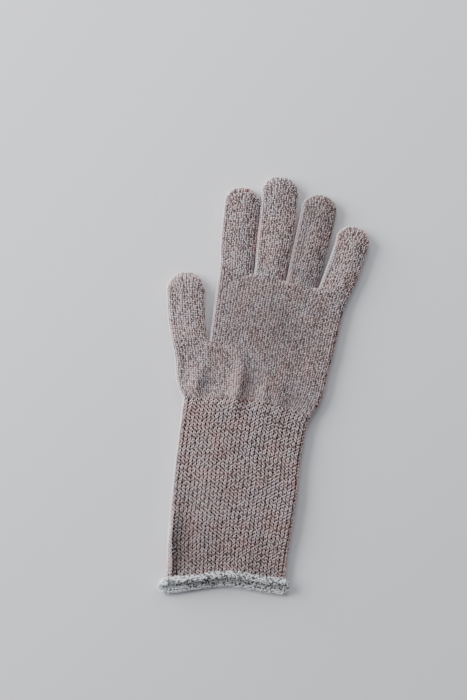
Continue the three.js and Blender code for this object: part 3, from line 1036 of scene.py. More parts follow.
class Wool(Enum):
    """Every finish of the glove."""

    HAND = YarnFinish("taupe_melange_wool", MELANGE, split=0.34, speckle=0.9)
    FINGER = YarnFinish("taupe_melange_wool_fingers", MELANGE, variety=0.95, split=0.34,
                        speckle=0.9)
    TIP = YarnFinish("taupe_melange_wool_loose", MELANGE, sheen=0.8)
    CUFF = YarnFinish("taupe_melange_wool_cuff", ("6b5453", "937d7c", "b9a7a6", "d6c9c8", "f6eff3"),
                      rub=0.7, split=0.3, speckle=0.5, sheen=0.4)
    HEM = YarnFinish("white_and_charcoal_marl_wool",
                     ("0e0f11", "141518", "202124", "e2e5e8", "f2f4f6", "fafbfc", "ffffff"),
                     NO_TINT, patch=0.1, rub=0.1, split=0.0, speckle=0.24, sheen=1.0)
    # The grounds' dark colours are painted shade between stitches, darkest in the cuff's holes; the
    # hem's ground also carries its own marl.
    HAND_GROUND = GroundFinish("taupe_wool_ground_painted_shade", "4d3e3f", "6d5d5e")
    CUFF_GROUND = GroundFinish("mesh_holes_painted_shade", "1c1415", "33282a")
    HEM_GROUND = GroundFinish("marl_wool_ground_and_painted_shade", "4c4f54", "b6babf", "c8ccd0")
    HALO = YarnFinish("loose_wool_hair", ("b8adb0", "d9d0d3", "f4eef1"), sheen=0.8)
    WHITE_HALO = YarnFinish("loose_white_wool_hair", ("d8dce0", "f2f4f6", "ffffff"), NO_TINT,
                            sheen=0.8)


# The glove's sub-assemblies

def settle(piece: bpy.types.Object, slot: str, *nodes: str) -> None:
    """Gives a finished piece its body, hides the nodes it stands for and logs its triangles.

    Args:
        piece: The piece.
        slot: The record's material slot; not used.
        nodes: Names of the nodes it replaces.
    """
    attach(piece, "root")
    if nodes:
        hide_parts(*nodes)
    piece.data.calc_loop_triangles()
    LOG.info("%s: %d triangles", piece.name, len(piece.data.loop_triangles))


@dataclass
class Loom:
    """What every sub-assembly needs to make its pieces."""

    bench: Bench = field(default_factory=Bench)
    wools: dict[Wool, bpy.types.Material] = field(
        default_factory=lambda: {wool: wool.value.make() for wool in Wool})
    knitting: KnittingTree = field(default_factory=KnittingTree)
    halo: HaloTree = field(default_factory=HaloTree)
    stitches: dict[StitchKind, bpy.types.Object] = field(
        default_factory=lambda: {kind: kind.draw() for kind in StitchKind})

    def ground(self, name: str, outer: Array, inner: Array, finish: Wool, slot: str, *nodes: str,
               closed_end: bool = False) -> bpy.types.Object:
        """Makes a ground wall as a piece.

        Args:
            name: The piece's name.
            outer: Outer points by ring.
            inner: Inner points by ring.
            finish: Its finish.
            slot: The record's material slot.
            nodes: Names of the nodes it replaces.
            closed_end: True where it closes to a tip.

        Returns:
            The wall.
        """
        points, faces = shell(outer, inner, closed_end)
        piece = self.bench.mesh(name, points, faces)
        piece.data.materials.append(self.wools[finish])
        # The ground is drawn paler in the folds, most of all the left one: painted highlight.
        facing = np.zeros(len(points) * 3, dtype=np.float32)
        piece.data.vertex_normals.foreach_get("vector", facing)
        mark(piece.data, pale=fold_highlight_share(facing.reshape(-1, 3)))
        settle(piece, slot, *nodes)
        return piece

    def jersey_ground(self, name: str, run: Sequence[Section], count: int, density: float,
                      seed: int, *nodes: str, closed_end: bool = False) -> None:
        """Makes the ground of a stretch of jersey, and the loose hairs on it.

        Args:
            name: What the pieces' names start with.
            run: The sections.
            count: Points round each one.
            density: Hairs on a square metre.
            seed: Seed of their chance.
            nodes: Names of the nodes that the ground replaces.
            closed_end: True where it closes to a tip.
        """
        outer = lie_flat(tube_grid(run, count, GROUND_DEPTH), GROUND_REST)
        inner = tube_grid(run, count, WALL_DEPTH)
        wall = self.ground(name + "_ground", outer, inner, Wool.HAND_GROUND, "hand_jersey", *nodes,
                           closed_end=closed_end)
        self.hairs(name + "_hairs", wall, density, seed, "hand_jersey")

    def knit(self, name: str, kind: StitchKind, places: Stitches, yarn: Wool, slot: str,
             seed: int, slack: float = 0.06, shade: Array | float = 0.0,
             painted_light: float = FOLD_HIGHLIGHT, lightened: Array | float = 0.0) -> None:
        """Makes stitches as a piece.

        Args:
            name: The piece's name.
            kind: The stitch.
            places: Where the stitches lie.
            yarn: Their finish.
            slot: The record's material slot.
            seed: Seed of the yarn's chance.
            slack: How far a stitch may turn, in radians.
            shade: How much lighter or darker than usual the yarn is drawn here, partly painted
                highlight and shade.
            painted_light: How much paler the yarn is drawn in a fold, most of all in the left one:
                painted highlight.
            lightened: How much paler the yarn is drawn here: painted highlight along the cuff's
                left fold, and on the hem's lower roll partly painted light.
        """
        carrier = bpy.data.meshes.new(name + "_places")
        carrier.from_pydata(self.bench.metres(places.middle).tolist(), [], [])
        # Yarn in the folds is drawn paler, most of all in the left fold: painted highlight.
        fold = fold_highlight_share(places.facing)
        # Where the yarn is drawn paler, paler tones are chosen; where darker, the colour is scaled
        # down.
        lighter = np.maximum(shade, 0.0)
        mark(carrier, across=places.across, facing=places.facing, gauge=places.scale,
             pale=lightened + painted_light * fold + 0.5 * lighter,
             shade=1.0 + shade - lighter + 0 * fold)
        holder = add_object(name + "_places", carrier)
        piece = run_tree(name, holder, self.knitting.tree, {
            "Stitch": self.stitches[kind], "Slack": slack, "Seed": seed, "Yarn": self.wools[yarn],
        })
        bpy.data.objects.remove(holder)
        settle(piece, slot)

    def hairs(self, name: str, wall: bpy.types.Object, density: float, seed: int, slot: str,
              yarn: Wool = Wool.HALO, lean: float = 0.0) -> None:
        """Makes loose hairs over a wall, as a piece.

        Args:
            name: The piece's name.
            wall: The ground wall.
            density: Hairs on a square metre.
            seed: Seed of their chance.
            slot: The record's material slot.
            yarn: Their finish.
            lean: Least upward lean of the cloth that they stand on.
        """
        settle(run_tree(name, wall, self.halo.tree, {
            "Hair": self.stitches[StitchKind.HAIR], "Density": density, "Seed": seed,
            "Yarn": self.wools[yarn], "Lowest Lean": lean,
        }), slot)


def fold_highlight_share(facing: Array) -> Array:
    """How much paler cloth that faces this way is drawn, as painted highlight.

    Args:
        facing: Where each place faces.

    Returns:
        Shares of painted highlight, which grow from steep cloth on to 1 in the left fold, where it
            faces left.
    """
    steep = smooth((0.7 - np.abs(facing[:, 2])) / 0.5)
    left = smooth((-facing[:, 0] - 0.42) / 0.3)
    return (0.5 * steep + left) / 1.4


def patches_and_painted_light(places: Stitches) -> Array:
    """How much lighter or darker each stitch is drawn, in broad clouds: darker patches, painted
    shade in the cuff's dip, and painted highlights and shade on the gathers above the wrist.

    Args:
        places: The stitches.

    Returns:
        How much lighter or darker than usual the yarn is at each.
    """
    x, y = places.middle[:, 0], places.middle[:, 1]
    shade = np.zeros(len(x))
    for cloud_x, cloud_y, wide, long, amount in DARK_PATCHES_AND_PAINTED_LIGHT:
        shade += amount * np.exp(-(((x - cloud_x) / wide) ** 2) - ((y - cloud_y) / long) ** 2)
    return shade


def tube_grid(sections: Sequence[Section], count: int, sunk: float, phase: float = 0.0) -> Array:
    """Points on a run of sections.

    Args:
        sections: The sections in order.
        count: Points round each one.
        sunk: Depth below the cloth's outer face.
        phase: Shift of the first point, in points.

    Returns:
        Points by section and place round it.
    """
    shares = (np.arange(count) + phase) / count
    return np.stack([section.place(shares, sunk) for section in sections])


def lie_flat(grid: Array, floor: float) -> Array:
    """The same points with none below a level, as cloth that rests on a surface."""
    grid[..., 2] = np.maximum(grid[..., 2], floor)
    return grid


@dataclass
class Palm:
    """The jersey hand from the wrist to the knuckles."""

    lower_wales: int = 130
    upper_wales: int = 101
    lower_rows: int = 30
    upper_rows: int = 39
    ground_rings: int = 28
    ground_points: int = 150
    hair_density: float = 30000.0
    left_rise: float = 37.2
    right_rise: float = 40.0
    thumb_share: float = 0.2215
    thumb_corner: float = 5.4
    thumb_crotch: float = 174.4
    parting: float = 0.07
    picked_reach: float = 9.0
    knot_reach: float = 4.2

    def lower(self, t: float) -> Section:
        """Section between the wrist and the thumb's root, where thumb and palm part.

        Args:
            t: 0 at the wrist, 1 at the thumb's root.

        Returns:
            The section.
        """
        left = np.array([HAND.wrist_left - np.interp(t, LOWER_AT, LOWER_LEFT),
                         HAND.wrist_y + self.left_rise * t])
        right = np.array([HAND.wrist_right + np.interp(t, LOWER_AT, LOWER_RIGHT),
                          HAND.wrist_y + self.right_rise * t])

        def bow(share: Array) -> Array:
            """Rise of the course: the wrist's curve below, the thumb's corner above."""
            corner = self.thumb_corner * np.interp(share, (0, self.thumb_share, 1), (0, 1, 0))
            return blend(HAND.wrist_curve(share), corner, t)

        return self.between(left, right, HAND.palm_crown, bow, (self.thumb_share,), t,
                            (HAND.finger_crown, HAND.palm_crown), 1.0)

    def upper(self, t: float) -> Section:
        """Section between the thumb's crotch and the line of the finger crotches.

        Args:
            t: 0 at the thumb's crotch, 1 at the fingers'.

        Returns:
            The section.
        """
        level = HAND.crotch_y(HAND.knuckle_left)
        left = np.array([HAND.knuckle_left - 0.1, blend(self.thumb_crotch, level, t)])
        right = np.array([
            blend(HAND.wrist_right + LOWER_RIGHT[-1], HAND.knuckle_right,
                  np.interp(t, UPPER_AT, UPPER_RIGHT)),
            blend(HAND.wrist_y + self.right_rise, HAND.crotch_y(HAND.knuckle_right), t),
        ])
        widths = np.array([row[1] for row in FINGER_ROWS])
        edges = np.cumsum(widths + HAND.crotch_gap)[:-1] - HAND.crotch_gap / 2
        lobes = tuple(edges / (HAND.knuckle_right - HAND.knuckle_left))
        crown = blend(HAND.palm_crown, HAND.finger_crown, float(smooth(t)))
        return self.between(left, right, crown, None, lobes, t,
                            (HAND.finger_crown,) * len(FINGER_ROWS), 0.4)

    def between(self, left: Array, right: Array, crown: float,
                bow: Callable[[Array], Array] | None, lobes: tuple[float, ...], t: float,
                crowns: tuple[float, ...], ridge: float) -> Section:
        """A section from its two edges.

        Args:
            left: The left edge.
            right: The right edge.
            crown: How far the upper layer stands up in the middle.
            bow: Rise of the course by share across.
            lobes: Shares across at which stalls part.
            t: How far up its half of the hand it is, from 0 to 1.
            crowns: Crown of each lobe.
            ridge: Height of the soft edge along the left fold.

        Returns:
            The section.
        """
        span = right - left
        width = float(np.linalg.norm(span))
        parted = float(smooth((t - 1 + self.parting) / self.parting))
        return Section((left + right) / 2, span / width, width / 2, HAND.side, crown, 1.0, bow,
                       lobes, parted, crowns, ridge)

    def jersey(self, form: Callable[[float], Section], rows: int, wales: int, phase: float,
               seed: int) -> Stitches:
        """The stitches of one half of the palm.

        Args:
            form: The half's section by place.
            rows: Its courses.
            wales: Its wales.
            phase: Shift of the first wale, in wales.
            seed: Seed of the chance that sets stitches out of line.

        Returns:
            The stitches.
        """
        run = [form((j + 0.5) / rows) for j in range(rows)]
        grid = lie_flat(tube_grid(run, wales, STITCH_DEPTH, phase), STITCH_REST)
        return Stitches.on_grid(grid, JERSEY).loosened(0.06, seed)

    def build(self, loom: Loom) -> None:
        """Makes the palm's ground wall, its stitches and the joins at the knuckles.

        Args:
            loom: What makes the pieces.
        """
        steps = np.linspace(0.0, 1.0, self.ground_rings)
        for name, form, nodes in (("lower_palm", self.lower, ("palm",)),
                                  ("upper_palm", self.upper, ())):
            loom.jersey_ground(name, [form(t) for t in steps], self.ground_points,
                               self.hair_density, 11, *nodes)
        lower = self.jersey(self.lower, self.lower_rows, self.lower_wales, 0.0, 1)
        # The palm's clouds include painted highlights and shade on the gathers above the wrist.
        loom.knit("lower_palm_jersey", StitchKind.JERSEY, lower, Wool.HAND, "hand_jersey", 21,
                  shade=patches_and_painted_light(lower))
        places = self.jersey(self.upper, self.upper_rows, self.upper_wales, 0.5, 2)
        row = np.repeat(np.arange(self.upper_rows), self.upper_wales)
        near, knot = self.joins(places)
        dropped = near & (row == self.upper_rows - 3) & (np.arange(len(row)) % 3 == 0)
        picked = near & (row == self.upper_rows - 2)
        knotted = knot & (row >= self.upper_rows - 2)
        places.scale[picked | knotted, 2] *= 1.5
        plain = places.kept(~(dropped | knotted))
        loom.knit("upper_palm_jersey", StitchKind.JERSEY, plain, Wool.HAND, "hand_jersey", 22,
                  shade=patches_and_painted_light(plain))
        loom.knit("crotch_knots", StitchKind.LOOSE, places.kept(knotted), Wool.HALO,
                  "hand_jersey", 23, 0.3)

    def joins(self, places: Stitches) -> tuple[Array, Array]:
        """Stitches of the upper layer near a finger's join.

        Args:
            places: The upper palm's stitches.

        Returns:
            A mask of those right of a crotch, where the fingers were joined on, and one of those
            that are drawn into its knot.
        """
        x, top = places.middle[:, 0], places.facing[:, 2] > 0.3
        near = np.zeros(len(x), dtype=bool)
        knot = near.copy()
        edge = HAND.knuckle_left
        for _, root, *_ in FINGER_ROWS[:-1]:
            edge += root + HAND.crotch_gap
            near |= (x > edge - 1) & (x < edge + self.picked_reach) & top
            knot |= (x > edge - self.knot_reach) & (x < edge + 0.2) & top
        return near, knot


@dataclass
class Stall:
    """A jersey stall for one finger or the thumb, from its crotch to its gathered tip."""

    sizes: StallSizes
    seed: int
    root_slope: float
    phase: float = 0.0
    shade: float = 0.0
    ridge: float = 0.5
    turn_run: float = 16.0
    ground_rings: int = 20
    ground_points: int = 48
    hair_density: float = 50000.0

    def frame(self, distance: float) -> tuple[Array, Array, Array, float]:
        """Middle, course direction, axis and width of the straight stall at a distance.

        Args:
            distance: Distance from the root along the stall.

        Returns:
            The middle, the direction of the course, the axis and the full width.
        """
        s = self.sizes
        lean = math.radians(s.lean)
        along = np.array([math.sin(lean), math.cos(lean)])
        aside = np.array([along[1], -along[0]])
        share = min(max(distance / (s.length - s.tip), 0.0), 1.0)
        width = blend(s.root, s.width, float(smooth(share / s.fill)))
        middle = (np.array([s.root_x, s.root_y]) + along * distance
                  + aside * (4 * s.bow * share * (1 - share)))
        slope = blend(self.root_slope, -math.tan(lean), float(smooth(distance / self.turn_run)))
        course = np.array([1.0, slope]) / math.hypot(1.0, slope)
        return middle, course, along, width

    def section(self, distance: float, angle: float = 0.0) -> Section:
        """Section at a distance from the root, or at an angle round the tip.

        Args:
            distance: Distance along the stall while it is straight.
            angle: Angle round the tip, in radians, once it isn't.

        Returns:
            The section.
        """
        middle, course, along, width = self.frame(distance)
        half = width / 2 * math.cos(angle) ** TIP_ROUND
        return Section(middle + along * self.sizes.tip * math.sin(angle), course, max(half, 0.8),
                       HAND.side, HAND.finger_crown, max(math.cos(angle), 0.02) ** TIP_THIN,
                       ridge=self.ridge * math.cos(angle))

    def build(self, loom: Loom) -> None:
        """Makes the stall's ground wall, its jersey and the loose stitches at its tip.

        Args:
            loom: What makes the pieces.
        """
        s = self.sizes
        straight = s.length - s.tip
        run = [self.section(d) for d in np.linspace(-1.0, straight, self.ground_rings)]
        run += [self.section(straight, math.radians(a)) for a in TIP_RINGS]
        loom.jersey_ground(s.name, run, self.ground_points, self.hair_density, self.seed, s.name,
                           closed_end=True)
        rows = round(straight / JERSEY.course)
        wales = round((2 * (s.width - HAND.side) + math.pi * HAND.side) / JERSEY.wale)
        run = [self.section(straight * (j + 0.5) / rows) for j in range(rows)]
        grid = lie_flat(tube_grid(run, wales, STITCH_DEPTH, self.phase), STITCH_REST)
        fan, rim = self.tip_fan(straight)
        places = Stitches.joined([Stitches.on_grid(grid, JERSEY), fan]).loosened(0.06, self.seed)
        loom.knit(s.name + "_jersey", StitchKind.JERSEY, places, Wool.FINGER, "hand_jersey",
                  self.seed, shade=self.shade)
        tip = Stitches.joined([self.tip_sides(straight), rim]).loosened(0.12, self.seed)
        loom.knit(s.name + "_tip", StitchKind.LOOSE, tip, Wool.TIP, "hand_jersey",
                  self.seed + 50, 0.2, self.shade)

    def tip_sides(self, straight: float) -> Stitches:
        """Stitches of the tip's folds and lower layer, fewer in each course as it closes.

        Args:
            straight: Where the tip begins along the stall.

        Returns:
            The stitches.
        """
        parts = []
        angles = [math.radians(a) for a in range(*TIP_COURSES)]
        for low, angle, high in zip([angles[0] - 0.12, *angles], angles, [*angles[1:], 1.5]):
            here = self.section(straight, angle)
            count = max(6, round((4 * here.half + 8 * here.shrink) / (JERSEY.wale * 1.08)))
            rows = [self.section(straight, a) for a in (max(low, 0.0), angle, high)]
            grid = tube_grid(rows, count, STITCH_DEPTH - 0.05, (angle * 7) % 1.0)
            places = Stitches.on_grid(lie_flat(grid, STITCH_REST), JERSEY)
            middle = np.zeros(len(places.middle), dtype=bool)
            middle[count:2 * count] = True
            kept = places.kept(middle & (places.facing[:, 2] < 0.5))
            kept.scale[:, 1] = np.clip(kept.scale[:, 1], 0.8, 1.6)
            parts.append(kept)
        return Stitches.joined(parts)

    def tip_fan(self, straight: float) -> tuple[Stitches, Stitches]:
        """Stitches of the tip's upper layer, whose wales fan out to meet the rounded edge.

        Args:
            straight: Where the tip begins along the stall.

        Returns:
            The plain stitches, and those of the looser rim.
        """
        middle, course, along, width = self.frame(straight)
        tip, half = self.sizes.tip, width / 2
        wales = round(width / JERSEY.wale)
        rows = round(tip / (JERSEY.course * 1.02))
        spread = -1 + (2 * np.arange(wales) + 1) / wales
        share = ((np.arange(rows) + 0.5) / rows)[:, None]
        turn = spread * math.pi / 2
        edge = half * np.sign(turn) * np.abs(np.sin(turn)) ** TIP_ROUND
        u = blend((spread * half)[None], edge[None] * 0.95, share**1.3)
        v = share * 0.98 * (tip * np.cos(turn))[None]
        angle = np.arcsin(np.clip(v / tip, 0, 0.99))
        room = half * np.cos(angle) ** TIP_ROUND
        radius = HAND.side / 2
        flat = np.maximum(room - radius, 0.5)
        over = np.clip((np.abs(u) - flat) / radius, 0, 1)
        z = np.where(np.abs(u) < flat, HAND.side + HAND.finger_crown * (1 - (u / flat) ** 2),
                     radius + radius * np.sqrt(1 - over**2)) - STITCH_DEPTH
        z = thinned(z, HAND.side, np.cos(angle) ** TIP_THIN)
        plan = (middle[None, None] + course[None, None] * u[..., None]
                + along[None, None] * v[..., None])
        z = z + fold_height(plan[..., 0], plan[..., 1]) * np.cos(angle)
        places = Stitches.on_grid(np.concatenate([plan, z[..., None]], axis=2), JERSEY, False)
        places.scale[:, 1] = np.clip(places.scale[:, 1], 0.5, 1.5)
        row = np.repeat(np.arange(rows), wales)
        roomy = (places.scale[:, 1] > 0.62) | (row % 2 == 0)
        rim = (row >= rows - 2) | (places.facing[:, 2] < 0.72)
        return places.kept(roomy & ~rim), places.kept(roomy & rim)


@dataclass
class Cuff:
    """The long mesh cuff, an open tube whose mouth is cut in a shallow wave."""

    side: float = 8.6
    mouth_side: float = 4.2
    crown: float = 1.7
    mouth_crown: float = 1.0
    mouth_left: float = -44.5
    mouth_width: float = 86.0
    wave: float = 13.5
    setback: float = 4.0
    stagger: float = 6.8
    lift_run: float = 34.0
    lift: float = 2.74
    ridge: float = 2.2
    ridge_place: float = 2.5
    ridge_width: float = 1.8
    # How much paler the left fold's crest is drawn: painted highlight.
    lightened: float = 0.26
    cells: int = 65
    rows: int = 51
    ground_rings: int = 60
    ground_points: int = 120
    ground_depth: float = 0.85
    hair_density: float = 50000.0
    rest: float = 0.5
    closing_rows: int = 6
    closing: float = 0.16

    def mouth_y(self, x: Array, top: Array) -> Array:
        """Level of the mouth, which is lower on the lower layer.

        Args:
            x: Places across.
            top: Their shares of the upper layer.

        Returns:
            The level at each place.
        """
        across = x / self.mouth_width
        near = (-0.07, -0.035, 0, 0.035, 0.07)
        rise = sum(np.interp(across + step, WAVE_ACROSS, WAVE_RISE) for step in near)
        return rise / len(near) * self.wave - self.setback - self.stagger * (1 - smooth(top))

    def lifted(self, y: Array) -> Array:
        """How far the lower layer is lifted off the surface by the curl under it."""
        return self.lift * (1 - smooth(np.clip(y, 0, None) / self.lift_run))

    def ring(self, share: float, count: int, sunk: float, phase: float = 0.0) -> Array:
        """Points round the cuff at a share of the way from its mouth to the wrist.

        Args:
            share: 0 at the mouth, 1 at the seam.
            count: Points round it.
            sunk: Depth below the cloth's outer face.
            phase: Shift of the first point, in points.

        Returns:
            The ring's points.
        """
        left = blend(self.mouth_left, HAND.wrist_left, np.interp(share, CUFF_AT, CUFF_LEFT))
        right = blend(self.mouth_left + self.mouth_width, HAND.wrist_right,
                      np.interp(share, CUFF_AT, CUFF_RIGHT))
        opened = float(smooth(share / 0.3))
        side = blend(self.side, HAND.side, float(smooth(share)))
        side = blend(self.mouth_side, side, opened)
        crown = blend(self.mouth_crown, self.crown, opened)
        crown = blend(crown, HAND.palm_crown, float(smooth((share - 0.9) / 0.1)))
        plain = Section(np.zeros(2), np.array([1.0, 0.0]), (right - left) / 2, side, crown)
        u, z, top = plain.around((np.arange(count) + phase) / count)
        x = (left + right) / 2 + u * (1 - 2 * sunk / (right - left))
        seam = HAND.wrist_y + HAND.wrist_curve((x - HAND.wrist_left) / HAND.wrist_width)
        y = blend(self.mouth_y(x, top), seam, share)
        narrow = blend(1.0, 0.45, float(smooth(share / 0.6)))
        ridge = self.ridge * narrow * np.exp(
            -((x - left - self.ridge_place * narrow) / (self.ridge_width * narrow)) ** 2)
        z = plain.sink(z, sunk) + top * (fold_height(x, y) + ridge)
        return np.stack([x, y, z + self.lifted(y)], axis=1)

    def rings(self, shares: Iterable[float], count: int, sunk: float, phase: float = 0.0) -> Array:
        """Points of a run of rings, by ring."""
        return np.stack([self.ring(share, count, sunk, phase) for share in shares])

    def build(self, loom: Loom) -> None:
        """Makes the cuff's ground, dark as painted shade in the mesh's holes, and its mesh, upper
        and lower layer apart.

        Args:
            loom: What makes the pieces.
        """
        steps = np.append(np.linspace(0.0, 1.0, self.ground_rings), 1.012)
        outer = lie_flat(self.rings(steps, self.ground_points, self.ground_depth), 0.4)
        inner = self.rings(steps, self.ground_points, WALL_DEPTH)
        wall = loom.ground("cuff_ground", outer, inner, Wool.CUFF_GROUND, "cuff_mesh", "cuff")
        loom.hairs("cuff_hairs", wall, self.hair_density, 71, "cuff_mesh")
        shares = [(j + 0.5) / self.rows for j in range(self.rows)]
        grid = lie_flat(self.rings(shares, self.cells, STITCH_DEPTH, 0.5), self.rest)
        places = Stitches.on_grid(grid, MESH).loosened(0.11, 74)
        # The mesh closes up over its last rows below the jersey.
        row = np.repeat(np.arange(self.rows), self.cells)
        near = smooth((row - self.rows + self.closing_rows) / self.closing_rows)
        places.scale *= (1 + self.closing * near)[:, None]
        # The left fold's crest is drawn paler: painted highlight where the light from the left
        # falls on it.
        cell = np.tile(np.arange(self.cells), self.rows)
        crest = self.lightened * ((cell < 1 + (row < 0.4 * self.rows)) | (cell == self.cells - 1))
        upper = places.facing[:, 2] > 0
        for name, mask, seed in (("cuff_mesh_upper", upper, 72), ("cuff_mesh_lower", ~upper, 73)):
            part = places.kept(mask)
            loom.knit(name, StitchKind.MESH, part, Wool.CUFF, "cuff_mesh", seed, 0.1,
                      patches_and_painted_light(part) * (crest[mask] == 0), lightened=crest[mask])
        steps = np.linspace(0.004, 0.996, self.rows)
        grid = lie_flat(self.rings(steps, self.cells * 2, STITCH_DEPTH + 0.25), self.rest)
        folds = Stitches.on_grid(grid, MESH).loosened(0.15, 75)
        folds = folds.kept((np.abs(folds.facing[:, 2]) < 0.72) & (folds.facing[:, 2] > -0.4))
        folds.scale[:, 0] *= 1.6
        # Stitches on folds that face left are drawn paler: painted highlight.
        loom.knit("cuff_folds", StitchKind.LOOSE, folds, Wool.CUFF, "cuff_mesh", 76, 0.25,
                  lightened=self.lightened * (folds.facing[:, 0] < 0))


@dataclass
class RolledHem:
    """The last rows of the cuff, curled outwards all round the mouth."""

    cuff: Cuff
    radius: float = 1.95
    wall: float = 1.3
    turn: float = 285.0
    squash: float = 0.74
    count: int = 178
    rows: int = 13
    lining_rows: int = 8
    lining_step: float = 0.0092
    ground_points: int = 160
    ground_rings: int = 26
    hair_density: float = 130000.0
    end_bulk: float = 0.12
    end_reach: float = 2.5
    bunch_reach: float = 9.0
    bunch_out: float = 1.8
    bunch_white: float = 0.24
    right_tuck: float = 0.85

    def curl(self, count: int, angles: Array, radii: Array, phase: float = 0.0) -> Array:
        """Points of the curl by place on its section and place round the mouth.

        Args:
            count: Points round the mouth.
            angles: Angle of each place on the section, in degrees.
            radii: Distance of each from the curl's middle.
            phase: Shift of the first point, in points.

        Returns:
            The points.
        """
        middle = self.cuff.ring(0.0, count, self.wall / 2, phase)
        run = np.roll(middle, -1, axis=0) - np.roll(middle, 1, axis=0)
        out = np.stack([-run[:, 2], 0 * run[:, 2], run[:, 0]], axis=1)
        out /= np.linalg.norm(out, axis=1)[:, None]
        out[:, 2] *= self.squash
        out[:, 0] = np.where(out[:, 0] > 0, out[:, 0] * self.right_tuck, out[:, 0])
        rows = []
        for angle, radius in zip(np.radians(angles), radii):
            place = middle + out * (self.radius - radius * math.cos(angle))
            place = place - np.array([0.0, radius * math.sin(angle), 0.0])
            rows.append(place)
        return np.stack(rows)

    def stitches(self) -> Stitches:
        """The purl stitches of the curl and of the rows inside the mouth.

        Returns:
            The stitches, before they bunch.
        """
        shares = (np.arange(self.lining_rows, 0, -1) - 0.5) * self.lining_step
        lining = self.cuff.rings(shares, self.count, WALL_DEPTH + 0.25)
        angles = np.linspace(4.0, self.turn - 4, self.rows)
        radii = np.full(self.rows, self.radius + 0.45)
        roll = self.curl(self.count, angles, radii)
        # The lining stays out of the dents, where the two layers touch.
        clear = np.concatenate([lining[..., 2] > self.cuff.lifted(lining[..., 1]) + WALL_DEPTH,
                                np.ones(roll.shape[:2], bool)])
        grid = lie_flat(np.concatenate([lining, roll]), GROUND_REST)
        places = Stitches.on_grid(grid, PURL).kept(clear.ravel())
        # The curl is longest where it turns round the folds, and takes up more yarn there.
        grid = lie_flat(self.curl(self.count * 3, angles, radii, 0.5), GROUND_REST)
        ends = Stitches.on_grid(grid, PURL)
        x = ends.middle[:, 0] - self.cuff.mouth_left
        ends = ends.kept((x < self.end_reach) | (x > self.cuff.mouth_width - self.end_reach / 2))
        ends.scale[:, 0] *= 3.0
        places = Stitches.joined([places, ends]).loosened(0.12, 83)
        places.scale = np.clip(places.scale, 0.7, 1.1) * 1.12
        return places

    def build(self, loom: Loom) -> None:
        """Makes the curl's ground and its purl stitches.

        Args:
            loom: What makes the pieces.
        """
        angles = np.linspace(-12.0, self.turn, self.ground_rings)
        outer, inner = (
            lie_flat(self.curl(self.ground_points, angles,
                               np.full(self.ground_rings, self.radius + further)), rest)
            for further, rest in ((0.3, 0.3), (-0.6, 0.5)))
        wall = loom.ground("hem_ground", outer, inner, Wool.HEM_GROUND, "hem_marl", "rolled_hem")
        loom.hairs("hem_hairs", wall, self.hair_density, 81, "hem_marl", Wool.WHITE_HALO, -0.9)
        places = self.stitches()
        # The yarn bunches where the curl turns round the left fold.
        across = places.middle[:, 0] - self.cuff.mouth_left
        bunch = np.exp(-((across / self.bunch_reach) ** 2))
        places.scale *= (1 + self.end_bulk * bunch)[:, None]
        places.middle[:, 0] -= self.bunch_out * bunch
        upper = places.middle[:, 2] > self.cuff.mouth_side / 2 + self.cuff.lift
        # The lower roll, lying in the upper roll's shade, is drawn paler than the upper one:
        # painted light over the hem's own marl.
        for name, mask, seed, painted_fill_light in (("hem_purl_upper", upper, 82, -0.03),
                                        ("hem_purl_lower", ~upper, 84, 0.12)):
            loom.knit(name, StitchKind.PURL, places.kept(mask), Wool.HEM, "hem_marl", seed, 0.3,
                      painted_light=0.0, lightened=painted_fill_light + self.bunch_white * bunch[mask])


# The room

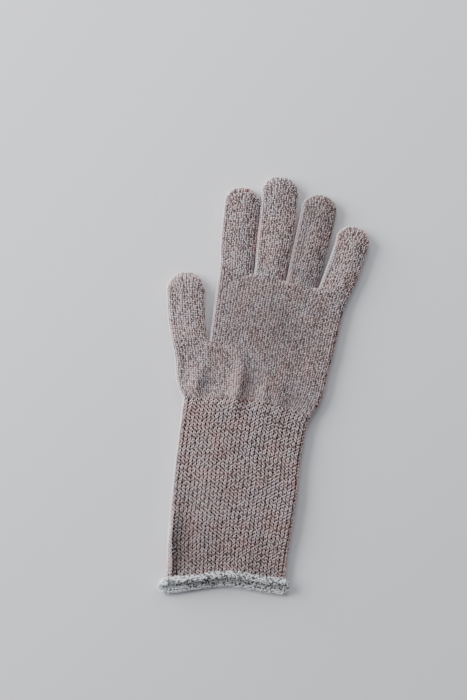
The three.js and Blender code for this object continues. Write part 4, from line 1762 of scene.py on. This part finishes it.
@dataclass(frozen=True)
class Studio:
    """A pale floor under soft light from the left."""

    view_turn: float = 7.8
    lens: float = 85.0
    sensor: float = 36.0
    long_side: float = 0.511
    centre: tuple[float, float] = (-0.01665, 0.02685)
    floor_half: float = 2.0
    floor_colour: str = "d2d3d7"
    room_colour: str = "f2f4fa"
    room_strength: float = 0.29

    def build(self) -> None:
        """Makes the floor, the lights and the camera."""
        self.floor()
        scene = bpy.context.scene
        scene.world = bpy.data.worlds.new("soft_room")
        scene.world.use_nodes = True
        backdrop = scene.world.node_tree.nodes["Background"].inputs
        backdrop["Color"].default_value = linear(self.room_colour)
        backdrop["Strength"].default_value = self.room_strength
        self.lamp("window_left", (-1.5, 0.48, 0.62), 1.4, 81.0)
        self.lamp("soft_above", (0.0, 1.3, 0.95), 1.2, 17.0)
        eye = bpy.data.cameras.new("eye")
        eye.lens = self.lens
        eye.sensor_width = self.sensor
        camera = add_object("eye", eye)
        camera.location = (*self.centre, self.long_side / 2 / (self.sensor / 2 / self.lens))
        camera.rotation_euler = (0.0, 0.0, math.radians(self.view_turn))
        scene.camera = camera

    def floor(self) -> None:
        """Makes the sheet of matt paper that the glove lies on."""
        half = self.floor_half
        made = bpy.data.meshes.new("floor")
        made.from_pydata([(-half, -half, 0), (half, -half, 0), (half, half, 0), (-half, half, 0)],
                         [], [(0, 1, 2, 3)])
        floor = add_object("floor", made)
        paper = bpy.data.materials.new("matt_grey_paper")
        paper.use_nodes = True
        # Uncoated paper is rough and reflects less at a slant than its IOR of 1.5 would.
        surface = paper.node_tree.nodes["Principled BSDF"].inputs
        surface["Base Color"].default_value = linear(self.floor_colour)
        surface["Roughness"].default_value = 0.9
        surface["Specular IOR Level"].default_value = 0.2
        made.materials.append(paper)

    def lamp(self, name: str, place: tuple[float, float, float], size: float,
             power: float) -> None:
        """Sets up a square soft light that looks at the glove's middle.

        Args:
            name: Its name.
            place: Where it stands, in metres.
            size: Its side, in metres.
            power: Its power, in watts.
        """
        light = bpy.data.lights.new(name, "AREA")
        light.shape = "SQUARE"
        light.size = size
        light.energy = power
        lamp = add_object(name, light)
        lamp.location = place
        lamp.rotation_euler = (-Vector(place)).to_track_quat("-Z", "Y").to_euler()


def stalls() -> list[Stall]:
    """The thumb and the four fingers, each set where it leaves the hand.

    Returns:
        The fingers from the index finger on, and last the thumb.
    """
    made = []
    edge = HAND.knuckle_left
    for number, (name, root, width, length, lean, bow) in enumerate(FINGER_ROWS):
        x = edge + root / 2
        sizes = StallSizes(name, x, HAND.crotch_y(x), root, width, length, lean, bow)
        made.append(Stall(sizes, 31 + number, HAND.crotch_slope, wale_phase(edge, width),
                          STALL_SHADES[number]))
        edge += root + HAND.crotch_gap
    lean = math.radians(THUMB.lean)
    across = np.array([math.cos(lean), -math.sin(lean)])
    crotch = np.array([HAND.knuckle_left - HAND.crotch_gap, HAND.wrist_y + HAND.thumb_rise])
    x, y = crotch - across * (THUMB.root / 2)
    made.append(Stall(replace(THUMB, root_x=x, root_y=y), 36, -math.tan(lean), 0.0,
                      STALL_SHADES[-1], 1.0))
    return made


def wale_phase(edge: float, width: float) -> float:
    """Phase that sets a finger's wales over the palm's.

    Args:
        edge: The finger root's left edge.
        width: The finger's width.

    Returns:
        The shift of its first wale, in wales.
    """
    fold = math.pi * HAND.side / 4 - HAND.side / 2
    around = 2 * (width - HAND.side) + math.pi * HAND.side
    pitch = around / round(around / JERSEY.wale)
    palm = (HAND.knuckle_right + fold - (edge - fold)) % JERSEY.wale
    return (palm / pitch) % 1.0


def main() -> None:
    """Builds the glove and the room, and reports each piece."""
    logging.basicConfig(level=logging.INFO, format="%(message)s")
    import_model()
    loom = Loom()
    Palm().build(loom)
    for stall in stalls():
        stall.build(loom)
    cuff = Cuff()
    cuff.build(loom)
    RolledHem(cuff).build(loom)
    Studio().build()
    for stitch in loom.stitches.values():
        bpy.data.objects.remove(stitch)


if __name__ == "__main__":
    main()
